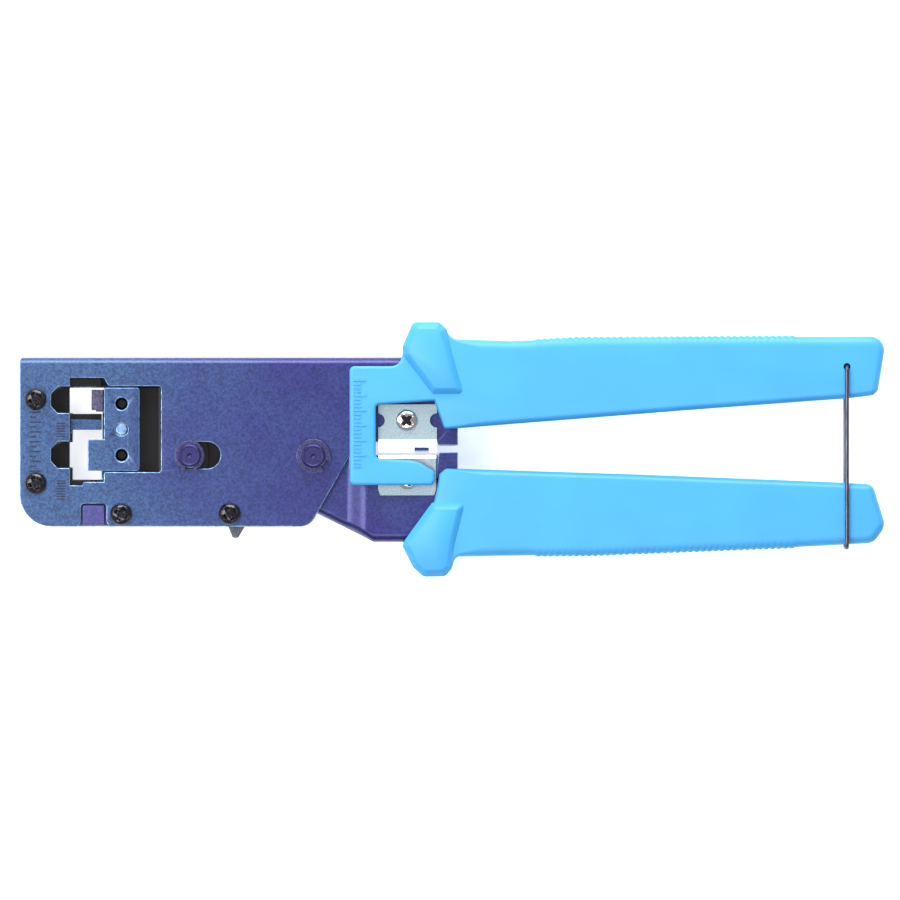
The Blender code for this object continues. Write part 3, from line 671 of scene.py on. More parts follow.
def settle(piece, body, slot, material, *nodes):
    """Give a finished piece its material and its body, and hide the nodes it stands for; slot is
    not used.
    """
    piece.data.materials.clear()
    piece.data.materials.append(material)
    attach(piece, body)
    if nodes:
        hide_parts(*nodes)
    return piece


def body_of_node(node):
    """The name of the body that a node belongs to."""
    bodies = frame["record"]["behaviour"]["bodies"]
    return next(name for name, nodes in bodies.items() if node in nodes)


def slot_of_node(node):
    """The record's material slot of a node."""
    return next(part["material_slot"] for part in frame["record"]["subparts"]
                if part["node"] == node)


def dressed(piece, node, kind, second=None):
    """A finished piece that replaces one node: its body and one or two finishes."""
    settle(piece, body_of_node(node), slot_of_node(node), finish_of(kind), node)
    if second:
        piece.data.materials.append(finish_of(second))
    return piece


def refined(node, kind, edge):
    """A welded copy of a node's solid with its flats merged and its edges broken."""
    mesh = frame["nodes"][node].data.copy()
    simplify(mesh, 0.001, 1.0, {"NORMAL"})
    if "custom_normal" in mesh.attributes:
        mesh.attributes.remove(mesh.attributes["custom_normal"])
    piece = bpy.data.objects.new(node + "_surface", mesh)
    bpy.context.scene.collection.objects.link(piece)
    smooth(piece)
    soften(piece, edge)
    return dressed(piece, node, kind)


# ------------------------------------------------------------------ frame and lever
SHEET = 1.5
FOLD = 2.0
CHEEK = 4.0
WINDOW = ((-91.8, 17.2), (-83.7, 17.2), (-82.6, 15.2, 0.4), (-70.0, 15.2, 0.6),
          (-70.0, -5.4, 0.6), (-83.7, -5.4, 0.5), (-83.7, -7.75), (-88.6, -7.75),
          (-88.9, -8.6), (-91.8, -8.6))
REAR_WINDOW = ((-92.0, 14.85), (-71.1, 14.85), (-71.1, -4.9), (-84.4, -4.9), (-84.4, -7.2),
               (-91.2, -7.2), (-91.2, -4.4), (-92.0, -4.4), (-92.0, 1.9), (-91.2, 1.9),
               (-91.2, 8.8), (-92.0, 8.8))
BODY_PLAN = ((HEAD_END + 0.9, SPINE_TOP + 0.1), (HEAD_END + 0.25, SPINE_TOP - 0.25),
             (HEAD_END, SPINE_TOP - 0.9), (HEAD_END, BODY_BOTTOM, 7.7),
             (-34.3, BODY_BOTTOM, 3.9), (-22.8, 1.8, 3.0), (-9.6, 1.8), (-9.6, -0.4),
             (-5.2, -0.4), (-5.2, 1.8), (-3.5, 1.8, 0.3), (-3.5, 0.95, 0.5), (1.3, 0.95, 0.4),
             (1.3, 7.6, 1.0), (TANG_END, 12.2, 1.0), (TANG_END, SPINE_TOP + 1),
             (HEAD_END + 0.9, SPINE_TOP + 1))
POCKETS = (11.95, -1.25)
ANVIL_SCREWS = ((-100.1, 12.1), (-100.1, -8.05))
SPACER_SCREW = (-79.55, -15.5)
ANCHOR_SCREW = (-53.5, -15.4)
UPPER_BLADE_SCREW = (-11.0, 7.0)
LOWER_BLADE_SCREW = (-10.8, -7.05)
CRANK_LENGTH = 14.0
CRANK_LEAN = math.radians(3)
CRANK = PIVOT - CRANK_LENGTH * np.array([math.cos(CRANK_LEAN), -math.sin(CRANK_LEAN)])
NEST_LEFT = -91.8
PIVOT_HOLE = 2.95
CRANK_HOLE = 2.3
SCREW_HOLE = 1.65
BLADE_HOLE = 1.45
SLOT_HALF = 3.2
SLOT_RIGHT = -58.9
# heights that cuts reach: through everything, from the middle up, from the middle down, and
# into the front plate alone
THROUGH = (-30.0, 30.0)
FRONT = (0, 20)
REAR = (-20, 0)
FRONT_PLATE = (PLATE - SHEET - 1, 20)


def latch_pocket(middle, half=3.17):
    """The pocket beside a plug nest, with its two far corners cut off."""
    return np.array([(-91.0, middle + half), (-94.6, middle + half),
                     (-96.35, middle + half - 1.8), (-96.35, middle - half + 1.7),
                     (-94.8, middle - half), (-91.0, middle - half)])


def frame_sheet():
    """The folded frame: a U section carried along X, trimmed to its plan and pierced."""
    ends = [(HEAD_END, SPINE_TOP, PLATE), (TANG_END, SPINE_TOP, PLATE)]
    piece = channel("frame_sheet", ends, -1, SHEET, FOLD)
    combine(piece, extruded("plan", outline(*BODY_PLAN), *THROUGH), "INTERSECT")
    combine(piece, extruded("window", outline(*WINDOW), *FRONT))
    combine(piece, extruded("rear_window", outline(*REAR_WINDOW), *REAR))
    for middle in POCKETS:
        combine(piece, extruded("pocket", latch_pocket(middle), *FRONT_PLATE))
    notch = outline((-89.9, -30), (-82.4, -30), (-82.4, -18.3), (-83.1, -17.4), (-83.1, -13.0, 0.9),
                    (-89.2, -13.0, 0.9), (-89.2, -17.4), (-89.9, -18.3))
    combine(piece, extruded("notch", notch, *FRONT_PLATE))
    slot = slot_outline(SLIDE[0] - 0.4, SLOT_RIGHT, SLIDE[1] + 0.1, SLOT_HALF)
    combine(piece, extruded("slot", slot, *THROUGH))
    drill(piece, PIVOT, PIVOT_HOLE, *THROUGH)
    for place in (*ANVIL_SCREWS, SPACER_SCREW, ANCHOR_SCREW):
        drill(piece, place, SCREW_HOLE, *THROUGH)
    drill(piece, UPPER_BLADE_SCREW, BLADE_HOLE, *FRONT)
    return piece


def lever_sheet():
    """The lever: a U section whose half width steps out from between the frame's plates.

    The step is a smoothstep, 3t^2 - 2t^3, of the way along X."""
    x = np.concatenate([[-60.0, -36.0], np.linspace(-35, -19, 33), [TANG_END]])
    spine = np.interp(x, [-36, -25.3, -20.8, -19.0], [-13.6, -18.95, -21.2, -22.2])
    t = np.clip((x + 25.6) / 5.0, 0, 1)
    half = CHEEK + (PLATE - CHEEK) * t * t * (3 - 2 * t)
    piece = channel("lever_sheet", np.column_stack([x, spine, half]), 1, SHEET, FOLD)
    cx, cy = CRANK
    plan = outline((cx - 4.4, cy + 4.4, 4.3), (cx - 4.4, cy - 4.4, 4.3), (-43.0, -6.5, 3.0),
                   (-39.0, -16.0, 2.0), (-21.0, -26), (TANG_END, -26), (TANG_END, -9.9, 1.0),
                   (1.3, -7.5, 1.0), (1.3, -0.6, 0.4), (-3.5, -0.6, 0.9), (-3.5, -1.25),
                   (-20.0, -1.25, 1.0), (-20.0, -5.0, 1.5), (-24.8, -5.0, 0.5),
                   (-24.8, 1.5, 1.5), (-27.0, 4.6, 3.0), (-40.0, 4.6, 3.0))
    combine(piece, extruded("plan", plan, *THROUGH), "INTERSECT")
    drill(piece, PIVOT, PIVOT_HOLE, *THROUGH)
    drill(piece, CRANK, CRANK_HOLE, *THROUGH)
    drill(piece, LOWER_BLADE_SCREW, BLADE_HOLE, *FRONT)
    return piece


# ------------------------------------------------------------------ grips
HUMP = 11.0
RIM_SLOPE = 1.7
RIM_DROP = 1.5
SOCKET = (-PLATE - 0.25, PLATE + 0.25)
BAIL_EYE = 19.9
SERRATED = (19.8, 82.2)
UPPER_GRIP = ((-11.7, 24.8), (-9.4, 30.6, 1.4), (-3.2, 30.6, 1.5), (0.2, 26.5, 3.0),
              (14, 26.1), (19.8, 26.3), (30, 26.8), (82.2, 27.1), (104.2, 27.2, 3.4),
              (101.9, 13.1, 2.2), (95.0, 12.3), (57.0, 9.5), (1.8, 5.15),
              (-2.0, 4.9, 1.0), (-4.4, 11.7), (-4.4, 20.0), (-12.0, 20.4, 1.0))
UPPER_STOP = ((-11.9, 22.4, 1.2), (-12.0, 24.8, 1.2), (-9.5, 30.6, 1.5), (-3.2, 30.6, 1.5),
              (-1.4, 29.0, 1.5), (0.2, 22.7, 1.5), (2.9, 13.2, 1.0), (-4.9, 13.2, 1.0))
GUARD = ((-24.7, 20.0, 1.3), (-24.7, -8.5, 1.3), (-4.9, -8.5, 0.8), (-4.25, -7.4, 0.8),
         (-4.25, -5.2, 0.9), (-8.5, -2.7, 6.0), (-18.4, -2.0, 1.0), (-18.4, 10.8, 1.0),
         (0, 12.0), (0, 24.0), (-11.8, 24.0), (-12.6, 20.0, 2.6))
LOWER_GRIP = ((-1.6, -4.5, 1.2), (-3.2, -5.9, 1.0), (-3.75, -9.7), (-4.5, -12.6, 1.0),
              (-11.7, -22.1, 0.8), (-12.0, -23.2, 0.8), (-9.5, -28.2, 1.6), (-7.0, -30.5, 1.4),
              (-1.7, -30.4, 1.4), (-0.2, -28.6, 1.4), (0.7, -25.7, 1.5), (10, -25.5),
              (19.8, -25.4), (33, -25.3), (76, -23.6), (82.2, -23.4), (101.0, -22.4, 3.2),
              (103.9, -18.3, 3.2), (100.8, -8.3, 2.2), (90.6, -7.8), (42.6, -5.9))
LOWER_STOP = ((-4.9, -12.7, 1.0), (-11.5, -21.8, 1.2), (-11.9, -23.2, 1.2), (-9.5, -28.2, 1.6),
              (-7.0, -30.5, 1.6), (-1.7, -30.4, 1.6), (-0.2, -28.6, 1.6), (0.7, -22.8, 1.5),
              (3.2, -12.7, 1.0))


def grip_slab(name, corners, outer, sizes):
    """A grip's moulded slab; outer is +1 or -1, the side along Y that carries serrations.

    The rim is widest on the outer side. A serration stands tooth * |sin| ** 0.8 proud."""
    pitch, tooth, rim = sizes.serration / MM, sizes.tooth / MM, sizes.rim / MM
    corner = outline(*corners)
    ahead = np.roll(corner, -1, axis=0)
    inside = [np.abs(part[:, 0] - sum(SERRATED) / 2) < (SERRATED[1] - SERRATED[0]) / 2 + 0.3
              for part in (corner, ahead)]
    fine = inside[0] & inside[1] & (corner[:, 1] * outer > 20)
    points = evened(corner, np.where(fine, pitch / 8, 2.0))
    side = normals_of(points)[:, 1] * outer
    away = np.clip((points[:, 0] - 1.0) / 6.0, 0, 1)
    inset = 0.6 + away * (1.0 + (rim - 1.6) * np.clip(side, 0, 1))
    phase = (points[:, 0] - SERRATED[0]) / pitch
    within = (points[:, 0] > SERRATED[0]) & (points[:, 0] < SERRATED[1]) & (side > 0.8)
    bumps = np.where(within, tooth * np.abs(np.sin(math.pi * phase)) ** 0.8, 0.0)
    return moulding(name, points, -GRIP, GRIP, inset, RIM_SLOPE, bumps)


def upper_grip_shape(sizes):
    """The fixed grip, its finger stop and the guard over the cutter, in one moulding."""
    grip = grip_slab("upper_grip_moulding", UPPER_GRIP, 1, sizes)
    combine(grip, sloped_stop("stop", UPPER_STOP, HUMP, RIM_SLOPE, RIM_DROP), "UNION")
    bars = evened(outline(*GUARD), 3.0)
    guard = moulding("guard", bars, SOCKET[1], GRIP, 0.75, 0.7, both=False)
    combine(grip, guard, "UNION")
    combine(grip, block("blade_room", (-20.4, -30, 0), (-3.35, 12.5, 7.2)))
    combine(grip, block("screw_room", (-16.4, -30, 0), (-3.35, 0, 8.4)))
    socket = np.array([(-30, -10), (1.55, -10), (1.55, 7.3), (62.25, 11.9), (62.25, 22.45),
                       (-30, 22.45)])
    combine(grip, extruded("socket", socket, *SOCKET))
    for low, high in ((6, 12), (-12, -6)):
        drill(grip, centre_of("latch_bail") * (1, 0) + (0, BAIL_EYE), 0.85, low, high, 24)
    return grip


def lower_grip_shape(sizes):
    """The moving grip and its finger stop, in one moulding."""
    grip = grip_slab("lower_grip_moulding", LOWER_GRIP, -1, sizes)
    combine(grip, sloped_stop("stop", LOWER_STOP, HUMP, RIM_SLOPE, RIM_DROP), "UNION")
    socket = np.array([(-30, 0), (1.55, 0), (1.55, -7.2), (62.25, -9.6), (62.25, -22.45),
                       (-30, -22.45)])
    return combine(grip, extruded("socket", socket, *SOCKET))


# ------------------------------------------------------------------ cutter
BLADE_LEFT = -17.85
BLADE_RIGHT = -3.7
BLADE_BACK = PLATE + 0.15
BLADE_FRONT = BLADE_BACK + 0.9
NOTCH_LEVEL = 7.0
SCREW_FIT = 1.4
CUT_LINE = -0.7
CUT_GAP = 0.6


def wedge(line, width, direction):
    """The stone's path along a cutting edge: a sloping section carried along X."""
    back = line - direction * width
    section = np.array([(back, BLADE_FRONT + 0.01), (line, BLADE_FRONT - 0.55),
                        (line + direction, BLADE_FRONT - 0.55),
                        (line + direction, BLADE_FRONT + 1.0), (back, BLADE_FRONT + 1.0)])
    return lofted("wedge", [np.column_stack([np.full(5, x), section]) for x in (-25.0, 5.0)])


def ground_faces(piece):
    """Put the sloping ground faces of a blade in its second finish."""
    mesh = piece.data
    normals = np.zeros(len(mesh.polygons) * 3)
    mesh.polygons.foreach_get("normal", normals)
    lean = normals[2::3]
    mesh.polygons.foreach_set("material_index", ((lean > 0.7) & (lean < 0.999)).astype(int))


def upper_blade_shape():
    """The fixed blade: a plate with two half-round notches, a square one and a long bevel."""
    plan = outline((BLADE_LEFT, CUT_LINE), (BLADE_RIGHT, CUT_LINE), (BLADE_RIGHT, 10.9, 0.3),
                   (BLADE_LEFT, 10.9, 0.3))
    plate = extruded("upper_blade_steel", plan, BLADE_BACK, BLADE_FRONT)
    drill(plate, (BLADE_LEFT, NOTCH_LEVEL), 1.6, *FRONT)
    drill(plate, (BLADE_RIGHT, NOTCH_LEVEL), 1.7, *FRONT)
    combine(plate, block("relief", (-9.1, -3, 0), (-5.7, 0.5, 20)))
    drill(plate, UPPER_BLADE_SCREW, SCREW_FIT, *FRONT)
    return combine(plate, wedge(CUT_LINE, 3.2, -1))


def lower_blade_shape():
    """The moving blade: a plate with cut-off lower corners and a short bevel."""
    edge = CUT_LINE - CUT_GAP
    right = BLADE_RIGHT - 0.2
    plan = np.array([(BLADE_LEFT, edge), (BLADE_LEFT, -9.6), (BLADE_LEFT + 0.5, -11.0),
                     (-4.4, -11.0), (right, -9.6), (right, edge)])
    plate = extruded("lower_blade_steel", plan, BLADE_BACK, BLADE_FRONT)
    drill(plate, LOWER_BLADE_SCREW, SCREW_FIT, *FRONT)
    return combine(plate, wedge(edge, 0.8, 1))


def divider_face(anvil):
    """Give the top of the bar between the nests the frame's enamel."""
    anvil.data.materials.append(finish_of("enamel"))
    for face in anvil.data.polygons:
        x, y, z = face.center / MM
        if face.normal.z > 0.9 and 4.0 < y < 7.5 and x > NEST_LEFT - 1.5 and z - MIDDLE > 2:
            face.material_index = 1


# ------------------------------------------------------------------ screws, pins and wire
def pan_head(node, head, shank, seat, tip, turn, recess):
    """A pan-head screw: a domed polar grid sunk by a cross, then carried down to its tip.

    The dome falls as the fourth power of the radius. Each arm of the cross is a ramp from
    its flank, times a ramp from its end, and the deeper of the two arms is taken."""
    centre, radius, height = centre_of(node), *head
    side = 1 if seat > tip else -1
    share = np.linspace(0, 1, 46)
    dome = height * (1 - 0.5 * share ** 4 - 0.06 * share ** 2)
    reach = np.concatenate([share * radius, [radius, radius, shank, shank, shank * 0.75, 0]])
    level = np.concatenate([dome, [height * 0.2, 0, 0, side * (tip - seat) + 0.5,
                                   side * (tip - seat), side * (tip - seat)]])
    angle = np.linspace(0, 2 * math.pi, 96, endpoint=False)
    x, y = reach[:, None] * np.cos(angle), reach[:, None] * np.sin(angle)
    lean = math.radians(turn)
    u = np.abs(x * math.cos(lean) + y * math.sin(lean))
    v = np.abs(y * math.cos(lean) - x * math.sin(lean))
    half, arm = radius * 0.15, radius * 0.74

    def ramp(across, along):
        flank = np.clip((half + 0.14 - across) / 0.2, 0, 1)
        return flank * np.clip((arm - along) / (arm * 0.45), 0, 1)

    sunk = np.maximum(ramp(u, v), ramp(v, u)) * recess
    sunk[len(share):] = 0
    z = seat + side * (level[:, None] - sunk)
    points = np.stack([centre[0] + x, centre[1] + y, z], 2).reshape(-1, 3)
    piece = solid(node + "_finished", points, grid_faces(len(reach), 96).tolist())
    smooth(piece, 40)
    return piece


RECESS_REACH = 2.0
RECESS_LEVEL = BLADE_FRONT + 0.72


def paint_recess_shade(piece, centre, reach, level):
    """Put the faces sunk below a level, within reach of the axis, in the second finish: painted
    shade in the cross recess.
    """
    for face in piece.data.polygons:
        x, y, z = face.center / MM
        inside = math.hypot(x - centre[0], y - centre[1]) < reach
        face.material_index = int(inside and z - MIDDLE < level)


def pin_shape(node, radius):
    """A grooved pin: a profile with bevelled, dished and centre-punched ends, turned."""
    half = [(radius, 0), (radius, PLATE + 0.3), (radius - 0.35, PLATE + 0.3),
            (radius - 0.35, PLATE + 1.3), (radius, PLATE + 1.3), (radius, 9.25),
            (radius - 0.1, 9.45), (radius - 0.35, 9.6), (radius - 0.6, 9.6),
            (radius - 0.75, 9.52), (0.55, 9.52), (0.3, 9.3), (0, 9.2)]
    profile = [(r, -z) for r, z in reversed(half)] + half[1:]
    piece = turned(node + "_finished", centre_of(node), profile)
    smooth(piece, 25)
    return piece


def ring_shape(node, centre, inner, outer, side, mouth):
    """A retaining ring: two arcs joined round two ears, carried up, with broken edges."""
    ear = 17
    outside = circle(centre, outer, 44, mouth + 34, mouth + 326)
    wide = circle(centre, outer + 0.35, 6, mouth + ear + 2, mouth + 30)
    inside = circle(centre, inner, 44, mouth + 360 - ear, mouth + ear)
    far = circle(centre, outer + 0.35, 6, mouth + 330, mouth + 358 - ear)
    low, high = sorted((side * (PLATE + 0.45), side * (PLATE + 1.15)))
    piece = extruded(node + "_finished", np.concatenate([wide, outside, far, inside]), low, high)
    smooth(piece)
    return soften(piece, 0.12 * MM)


COIL = 4.1
COIL_RISE = 1.65


def spring_route():
    """The torsion spring's centre line: a leg, a helix of 2.8 turns, and a leg, evened out.

    The corners are rounded by a moving average along the line, taken twice."""
    turn = np.radians(np.linspace(294, 1302, 400))
    rise = np.linspace(-COIL_RISE, COIL_RISE, 400)
    coil = np.column_stack([PIVOT[0] + COIL * np.cos(turn), PIVOT[1] + COIL * np.sin(turn), rise])
    fixed = np.array([(-49.0, -12.1, -COIL_RISE), (-42.5, -9.0, -COIL_RISE)])
    moving = np.array([(-30.0, -11.5, COIL_RISE), (-26.2, -15.9, COIL_RISE)])
    route = np.concatenate([fixed, coil, moving])
    run = np.concatenate([[0], np.cumsum(np.linalg.norm(np.diff(route, axis=0), axis=1))])
    even = np.linspace(0, run[-1], 700)
    line = np.column_stack([np.interp(even, run, part) for part in route.T])
    for _ in range(2):
        padded = np.pad(line, ((4, 4), (0, 0)), "edge")
        line[4:-4] = np.stack([np.convolve(part, np.full(9, 1 / 9), "valid")
                               for part in padded.T], 1)[4:-4]
    return line


def bail_route(bottom=-23.5, level=10.4, bend=1.1):
    """The bail's centre line: a flat loop down over the grips, with rounded corners."""
    loop = outline((BAIL_EYE, 6.4), (BAIL_EYE, level, bend), (bottom, level, bend),
                   (bottom, -level, bend), (BAIL_EYE, -level, bend), (BAIL_EYE, -6.4))
    x = centre_of("latch_bail")[0]
    ahead = np.diff(loop, axis=0)
    # a point for every whole millimetre
    counts = np.maximum(1, np.linalg.norm(ahead, axis=1).astype(int))
    even = np.concatenate([stepped(loop[:-1], ahead, counts), loop[-1:]])
    return np.column_stack([np.full(len(even), x), even])


# ------------------------------------------------------------------ die set
CARRIER = (-83.65, -75.1, -5.1, 14.85)
CLAMP = (-84.2, -75.1, -4.65, 14.6)


def die_plate(node, low, high, tongue):
    """A clamping plate of the die set, with two tapped holes and the dowel's hole.

    Each thread is a zigzag profile of 0.5 mm pitch turned about the hole's axis."""
    left, right, bottom, top = CARRIER if tongue else CLAMP
    corners = [(right, bottom, 0.7), (right, top, 0.7), (left, top, 0.7)]
    if tongue:
        corners += [(left, 2.45), (-87.5, 2.45, 0.3), (-87.5, bottom, 0.3)]
    else:
        corners += [(left, bottom, 0.7)]
    piece = extruded(node + "_finished", outline(*corners), low, high)
    for place in ("die_screw_8p", "die_screw_6p"):
        drill(piece, centre_of(place), 1.6, *THROUGH)
        crest = np.arange(low + 0.05, high - 0.2, 0.25)
        zigzag = [(1.57 if at % 2 else 1.36, z) for at, z in enumerate(crest)]
        thread = [(1.75, low + 0.05), *zigzag, (1.75, zigzag[-1][1])]
        combine(piece, turned("thread", centre_of(place), thread, 40, ring=True), "UNION")
    drill(piece, centre_of("die_dowel"), 1.55, *THROUGH)
    return piece


# ------------------------------------------------------------------ marks
def bars(name, boxes):
    """Many small straight-sided bars in one mesh, from rows of low and high corners."""
    rows = np.asarray(boxes, float)
    pick = np.array([(0, 1, 2), (3, 1, 2), (3, 4, 2), (0, 4, 2), (0, 1, 5), (3, 1, 5), (3, 4, 5),
                     (0, 4, 5)])
    points = rows[:, pick].reshape(-1, 3)
    sides = np.array([(0, 3, 2, 1), (4, 5, 6, 7), (0, 1, 5, 4), (1, 2, 6, 5), (2, 3, 7, 6),
                      (3, 0, 4, 7)])
    faces = (np.arange(len(rows))[:, None, None] * 8 + sides).reshape(-1, 4)
    return solid(name, points, faces.tolist())


def printed_marks():
    """A tick scale between the head screws, and a row of six lines and one of eight.

    The rows stand where each nest's contacts are counted; every other tick is short."""
    low, high = PLATE - 0.02, PLATE + 0.02
    rows = [(-101.4, y - 0.18, low, -101.4 + (2.6 if at % 2 == 0 else 1.5), y + 0.18, high)
            for at, y in enumerate(np.arange(-5.2, 9.0, 1.18))]
    for middle, count in ((4.7, 6), (-9.7, 8)):
        for at in range(count):
            y = middle + (at - (count - 1) / 2) * 0.62
            rows.append((-95.0, y - 0.15, low, -92.9, y + 0.15, high))
    return bars("contact_marks", rows)


def gauge_ticks(count):
    """The strip gauge moulded on the guard's left bar: fine ridges, each fourth one longer."""
    step = 0.9
    rows = []
    for line in range(count):
        y = 16.6 - step * line
        reach = 3.0 if line % 4 == 0 else 1.8
        rows.append((-23.7, y - 0.17, GRIP - 0.3, -23.7 + reach, y + 0.17, GRIP + 0.26))
    return bars("strip_gauge_ticks", rows)


# ------------------------------------------------------------------ operators
MADE = {}
FINISHES = {
    "enamel": baked_enamel_steel,
    "rim": highlit_rim_steel,
    "black": black_oxide_steel,
    "ring": lambda c: black_oxide_steel(c, "violet_oxide_spring_steel", 0.22, 0.5, "#55558c", 1.2),
    "spacer": lambda c: black_oxide_steel(c, "violet_oxide_bar_steel", 0.4, 0.6, "#4a4a86", 1.3),
    # near-black, darker than the screws' oxide: partly the blocks' dark phosphate, partly painted
    # shade inside the frame
    "block": lambda c: black_oxide_steel(c, "phosphated_steel_block", 0.6, 0.7, "#0b0b10"),
    "die": lambda c: black_oxide_steel(c, "hardened_die_steel", 0.35, 0.5, "#4c4862"),
    "blade": blasted_tool_steel,
    "edge": lambda c: ground_edge_steel(),
    "nickel": nickel_plate,
    "wire": drawn_spring_wire,
    "grip": moulded_polypropylene,
    "ink": printed_ink,
    "floor": opal_table,
}


def finish_of(kind):
    """The finish of that kind, made when it is first asked for; a pin's name gives its own."""
    if kind not in MADE:
        colours = bpy.context.scene.crimper_colours
        made = FINISHES.get(kind)
        MADE[kind] = made(colours) if made else turned_pin_steel(colours, kind)
    return MADE[kind]


class CRIMPER_OT_sheets(bpy.types.Operator):
    """Fold, trim and pierce the frame, and fold and joggle the lever"""
    bl_idname = "crimper.sheets"
    bl_label = "Frame and lever"

    def execute(self, context):
        for node, shape in (("body_channel", frame_sheet), ("lever_channel", lever_sheet)):
            piece = shape()
            simplify(piece.data, 0.03, 0.5)
            smooth(piece)
            # the bevel faces take the second finish, a painted highlight along the broken edges
            soften(piece, context.scene.crimper_sizes.edge, finish=1)
            dressed(piece, node, "enamel", "rim")
        return {"FINISHED"}


class CRIMPER_OT_grips(bpy.types.Operator):
    """Mould both grips, their finger stops and the cutter guard"""
    bl_idname = "crimper.grips"
    bl_label = "Grips"

    def execute(self, context):
        sizes = context.scene.crimper_sizes
        for node, shape in (("upper_grip", upper_grip_shape), ("lower_grip", lower_grip_shape)):
            piece = shape(sizes)
            smooth(piece, 40)
            dressed(piece, node, "grip")
        return {"FINISHED"}


class CRIMPER_OT_blades(bpy.types.Operator):
    """Cut, blast and grind the two blades"""
    bl_idname = "crimper.blades"
    bl_label = "Blades"

    def execute(self, context):
        for node, shape in (("upper_blade", upper_blade_shape),
                            ("lower_blade", lower_blade_shape)):
            piece = shape()
            smooth(piece, 12)
            dressed(piece, node, "blade", "edge")
            ground_faces(piece)
            soften(piece, 0.06 * MM, 14.0)
        return {"FINISHED"}


class CRIMPER_OT_screws(bpy.types.Operator):
    """Form every pan-head screw and its nut"""
    bl_idname = "crimper.screws"
    bl_label = "Screws"

    def execute(self, context):
        for node, turn in (("anvil_screw_upper", 24), ("anvil_screw_lower", 22),
                           ("spacer_screw", 62), ("anchor_screw", 30)):
            piece = pan_head(node, (2.6, 1.6), 1.5, PLATE + 0.15, -PLATE - 0.4, turn, 1.0)
            dressed(piece, node, "black")
        for node, turn in (("die_screw_8p", 15), ("die_screw_6p", 50)):
            piece = pan_head(node, (2.6, 1.5), 1.3, -PLATE - 0.15, 1.5, turn, 0.95)
            dressed(piece, node, "black")
        for node, turn in (("upper_blade_screw", 45), ("lower_blade_screw", 20)):
            piece = pan_head(node, (2.5, 1.05), 1.25, BLADE_FRONT + 0.1, 1.6, turn, 0.7)
            # the black second finish in the cross recess is painted shade
            dressed(piece, node, "nickel", "black")
            paint_recess_shade(piece, centre_of(node), RECESS_REACH, RECESS_LEVEL)
        for node in ("upper_blade_nut", "lower_blade_nut"):
            refined(node, "nickel", 0.12 * MM)
        return {"FINISHED"}


class CRIMPER_OT_pins(bpy.types.Operator):
    """Turn the pins and stamp their retaining rings"""
    bl_idname = "crimper.pins"
    bl_label = "Pins and rings"

    def execute(self, context):
        sets = (("pivot_pin", "pivot_ring", 2.85, 4.1, -35),
                ("slide_pin", "slide_ring", 2.75, 3.6, -90))
        for pin, rings, radius, outer, mouth in sets:
            dressed(pin_shape(pin, radius), pin, pin)
            for side, where in ((1, "_front"), (-1, "_back")):
                ring = ring_shape(rings + where, centre_of(pin), radius - 0.2, outer, side, mouth)
                dressed(ring, rings + where, "ring")
        refined("crank_pin", "crank_pin", 0.1 * MM)
        refined("die_dowel", "rim", 0.25 * MM)
        return {"FINISHED"}


class CRIMPER_OT_blocks(bpy.types.Operator):
    """Break the edges of the milled blocks and of the link"""
    bl_idname = "crimper.blocks"
    bl_label = "Blocks and link"

    def execute(self, context):
        edge = 0.15 * MM
        # the blocks' near-black finish is partly painted shade inside the frame
        for node in ("anvil_block", "ram_block", "toggle_link"):
            refined(node, "block", edge)
        divider_face(bpy.data.objects["anvil_block_surface"])
        refined("spring_anchor", "wire", edge)
        refined("bottom_spacer", "spacer", edge)
        return {"FINISHED"}


class CRIMPER_OT_dies(bpy.types.Operator):
    """Finish both crimping dies and the plates that clamp them"""
    bl_idname = "crimper.dies"
    bl_label = "Dies"

    def execute(self, context):
        for node, tongue in (("die_carrier", True), ("die_clamp", False)):
            piece = die_plate(node, *heights_of(node), tongue)
            simplify(piece.data, 0.01, 0.5)
            smooth(piece)
            # the bevel faces take the second finish, a painted highlight along the broken edges
            soften(piece, 0.17 * MM, 50.0, finish=1)
            dressed(piece, node, "enamel", "rim")
        for node in ("die_8p", "die_6p"):
            refined(node, "die", 0.08 * MM)
        return {"FINISHED"}


class CRIMPER_OT_wires(bpy.types.Operator):
    """Wind the return spring and bend the latch bail"""
    bl_idname = "crimper.wires"
    bl_label = "Spring and bail"

    def execute(self, context):
        wire = context.scene.crimper_sizes.wire / MM
        for node, route, radius in (("return_spring", spring_route(), 0.55),
                                    ("latch_bail", bail_route(), wire / 2)):
            piece = swept(node + "_wire", route, radius)
            smooth(piece, 50)
            dressed(piece, node, "wire")
        return {"FINISHED"}


class CRIMPER_OT_marks(bpy.types.Operator):
    """Print the contact lines on the frame and mould the strip gauge on the guard"""
    bl_idname = "crimper.marks"
    bl_label = "Marks"

    def execute(self, context):
        marks = printed_marks()
        settle(marks, "body", "blued_sheet", finish_of("ink"))
        ticks = gauge_ticks(context.scene.crimper_sizes.ticks)
        settle(ticks, "body", "grip_plastic", finish_of("grip"))
        return {"FINISHED"}


CAMERA_AWAY = 5.0
FIELD = 0.216


def softbox(name, place, size, power, aim=(0.0, 0.0, 0.0)):
    """A rectangular soft light, in metres, turned towards a point."""
    lamp = bpy.data.lights.new(name, "AREA")
    lamp.shape = "RECTANGLE"
    lamp.size, lamp.size_y = size
    lamp.energy = power
    holder = bpy.data.objects.new(name, lamp)
    holder.location = place
    holder.rotation_euler = (Vector(aim) - Vector(place)).to_track_quat("-Z", "Y").to_euler()
    bpy.context.scene.collection.objects.link(holder)


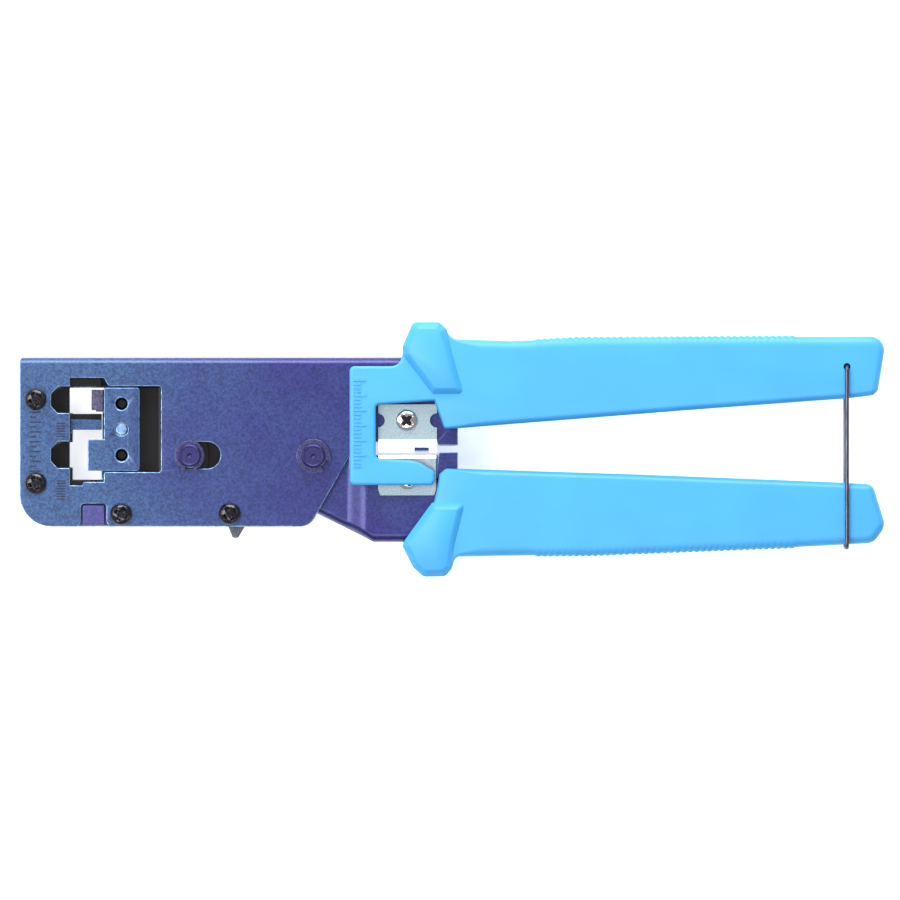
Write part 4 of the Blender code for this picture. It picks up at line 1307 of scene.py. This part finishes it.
class CRIMPER_OT_stage(bpy.types.Operator):
    """Set the pale floor, the soft lights and the camera"""
    bl_idname = "crimper.stage"
    bl_label = "Stage"

    def execute(self, context):
        scene = context.scene
        floor = solid("floor", [(-1500, -1500, -MIDDLE - 0.05), (1500, -1500, -MIDDLE - 0.05),
                                (1500, 1500, -MIDDLE - 0.05), (-1500, 1500, -MIDDLE - 0.05)],
                      [[0, 1, 2, 3]])
        floor.data.materials.append(finish_of("floor"))
        world = bpy.data.worlds.new("studio")
        world.use_nodes = True
        sky = world.node_tree.nodes["Background"]
        sky.inputs["Color"].default_value = (1.0, 1.0, 1.0, 1.0)
        sky.inputs["Strength"].default_value = 0.36
        scene.world = world
        softbox("softbox_left", (-0.5, 0.1, 0.85), (0.55, 0.55), 5.5, (-0.05, 0.0, 0.0))
        softbox("softbox_low_left", (-0.75, 0.1, 0.5), (0.4, 0.4), 1.0)
        softbox("softbox_above", (0.03, 0.75, 0.52), (0.9, 0.5), 10.5)
        softbox("softbox_front", (0.0, -0.32, 0.9), (0.35, 0.35), 1.6)
        scene.view_settings.view_transform = "Standard"
        camera = bpy.data.cameras.new("camera")
        camera.sensor_width = 36.0
        camera.lens = CAMERA_AWAY / FIELD * camera.sensor_width
        camera.clip_start = 0.1
        camera.clip_end = 20.0
        holder = bpy.data.objects.new("camera", camera)
        holder.location = (-0.0006, -0.0001, (MIDDLE + PLATE) * MM + CAMERA_AWAY)
        scene.collection.objects.link(holder)
        scene.camera = holder
        return {"FINISHED"}


STEPS = (CRIMPER_OT_stage, CRIMPER_OT_sheets, CRIMPER_OT_grips, CRIMPER_OT_blades,
         CRIMPER_OT_screws, CRIMPER_OT_pins, CRIMPER_OT_blocks, CRIMPER_OT_dies,
         CRIMPER_OT_wires, CRIMPER_OT_marks)


class CRIMPER_PT_panel(bpy.types.Panel):
    """Sizes, colours and building steps of the crimping tool"""
    bl_idname = "CRIMPER_PT_panel"
    bl_label = "Crimping tool"
    bl_space_type = "VIEW_3D"
    bl_region_type = "UI"
    bl_category = "Crimping tool"

    def draw(self, context):
        for group in (context.scene.crimper_sizes, context.scene.crimper_colours):
            for key in group.__annotations__:
                self.layout.prop(group, key)
        for step in STEPS:
            self.layout.operator(step.bl_idname)


CLASSES = (CrimperSizes, CrimperColours, *STEPS, CRIMPER_PT_panel)


def register():
    """Register the classes and hang the settings on the scene."""
    for kind in CLASSES:
        bpy.utils.register_class(kind)
    bpy.types.Scene.crimper_sizes = PointerProperty(type=CrimperSizes)
    bpy.types.Scene.crimper_colours = PointerProperty(type=CrimperColours)


def unregister():
    """Undo register."""
    del bpy.types.Scene.crimper_colours
    del bpy.types.Scene.crimper_sizes
    for kind in reversed(CLASSES):
        bpy.utils.unregister_class(kind)


def main():
    """Build every piece and the stage."""
    register()
    for step in STEPS:
        group, name = step.bl_idname.split(".")
        getattr(getattr(bpy.ops, group), name)()


if __name__ == "__main__":
    main()
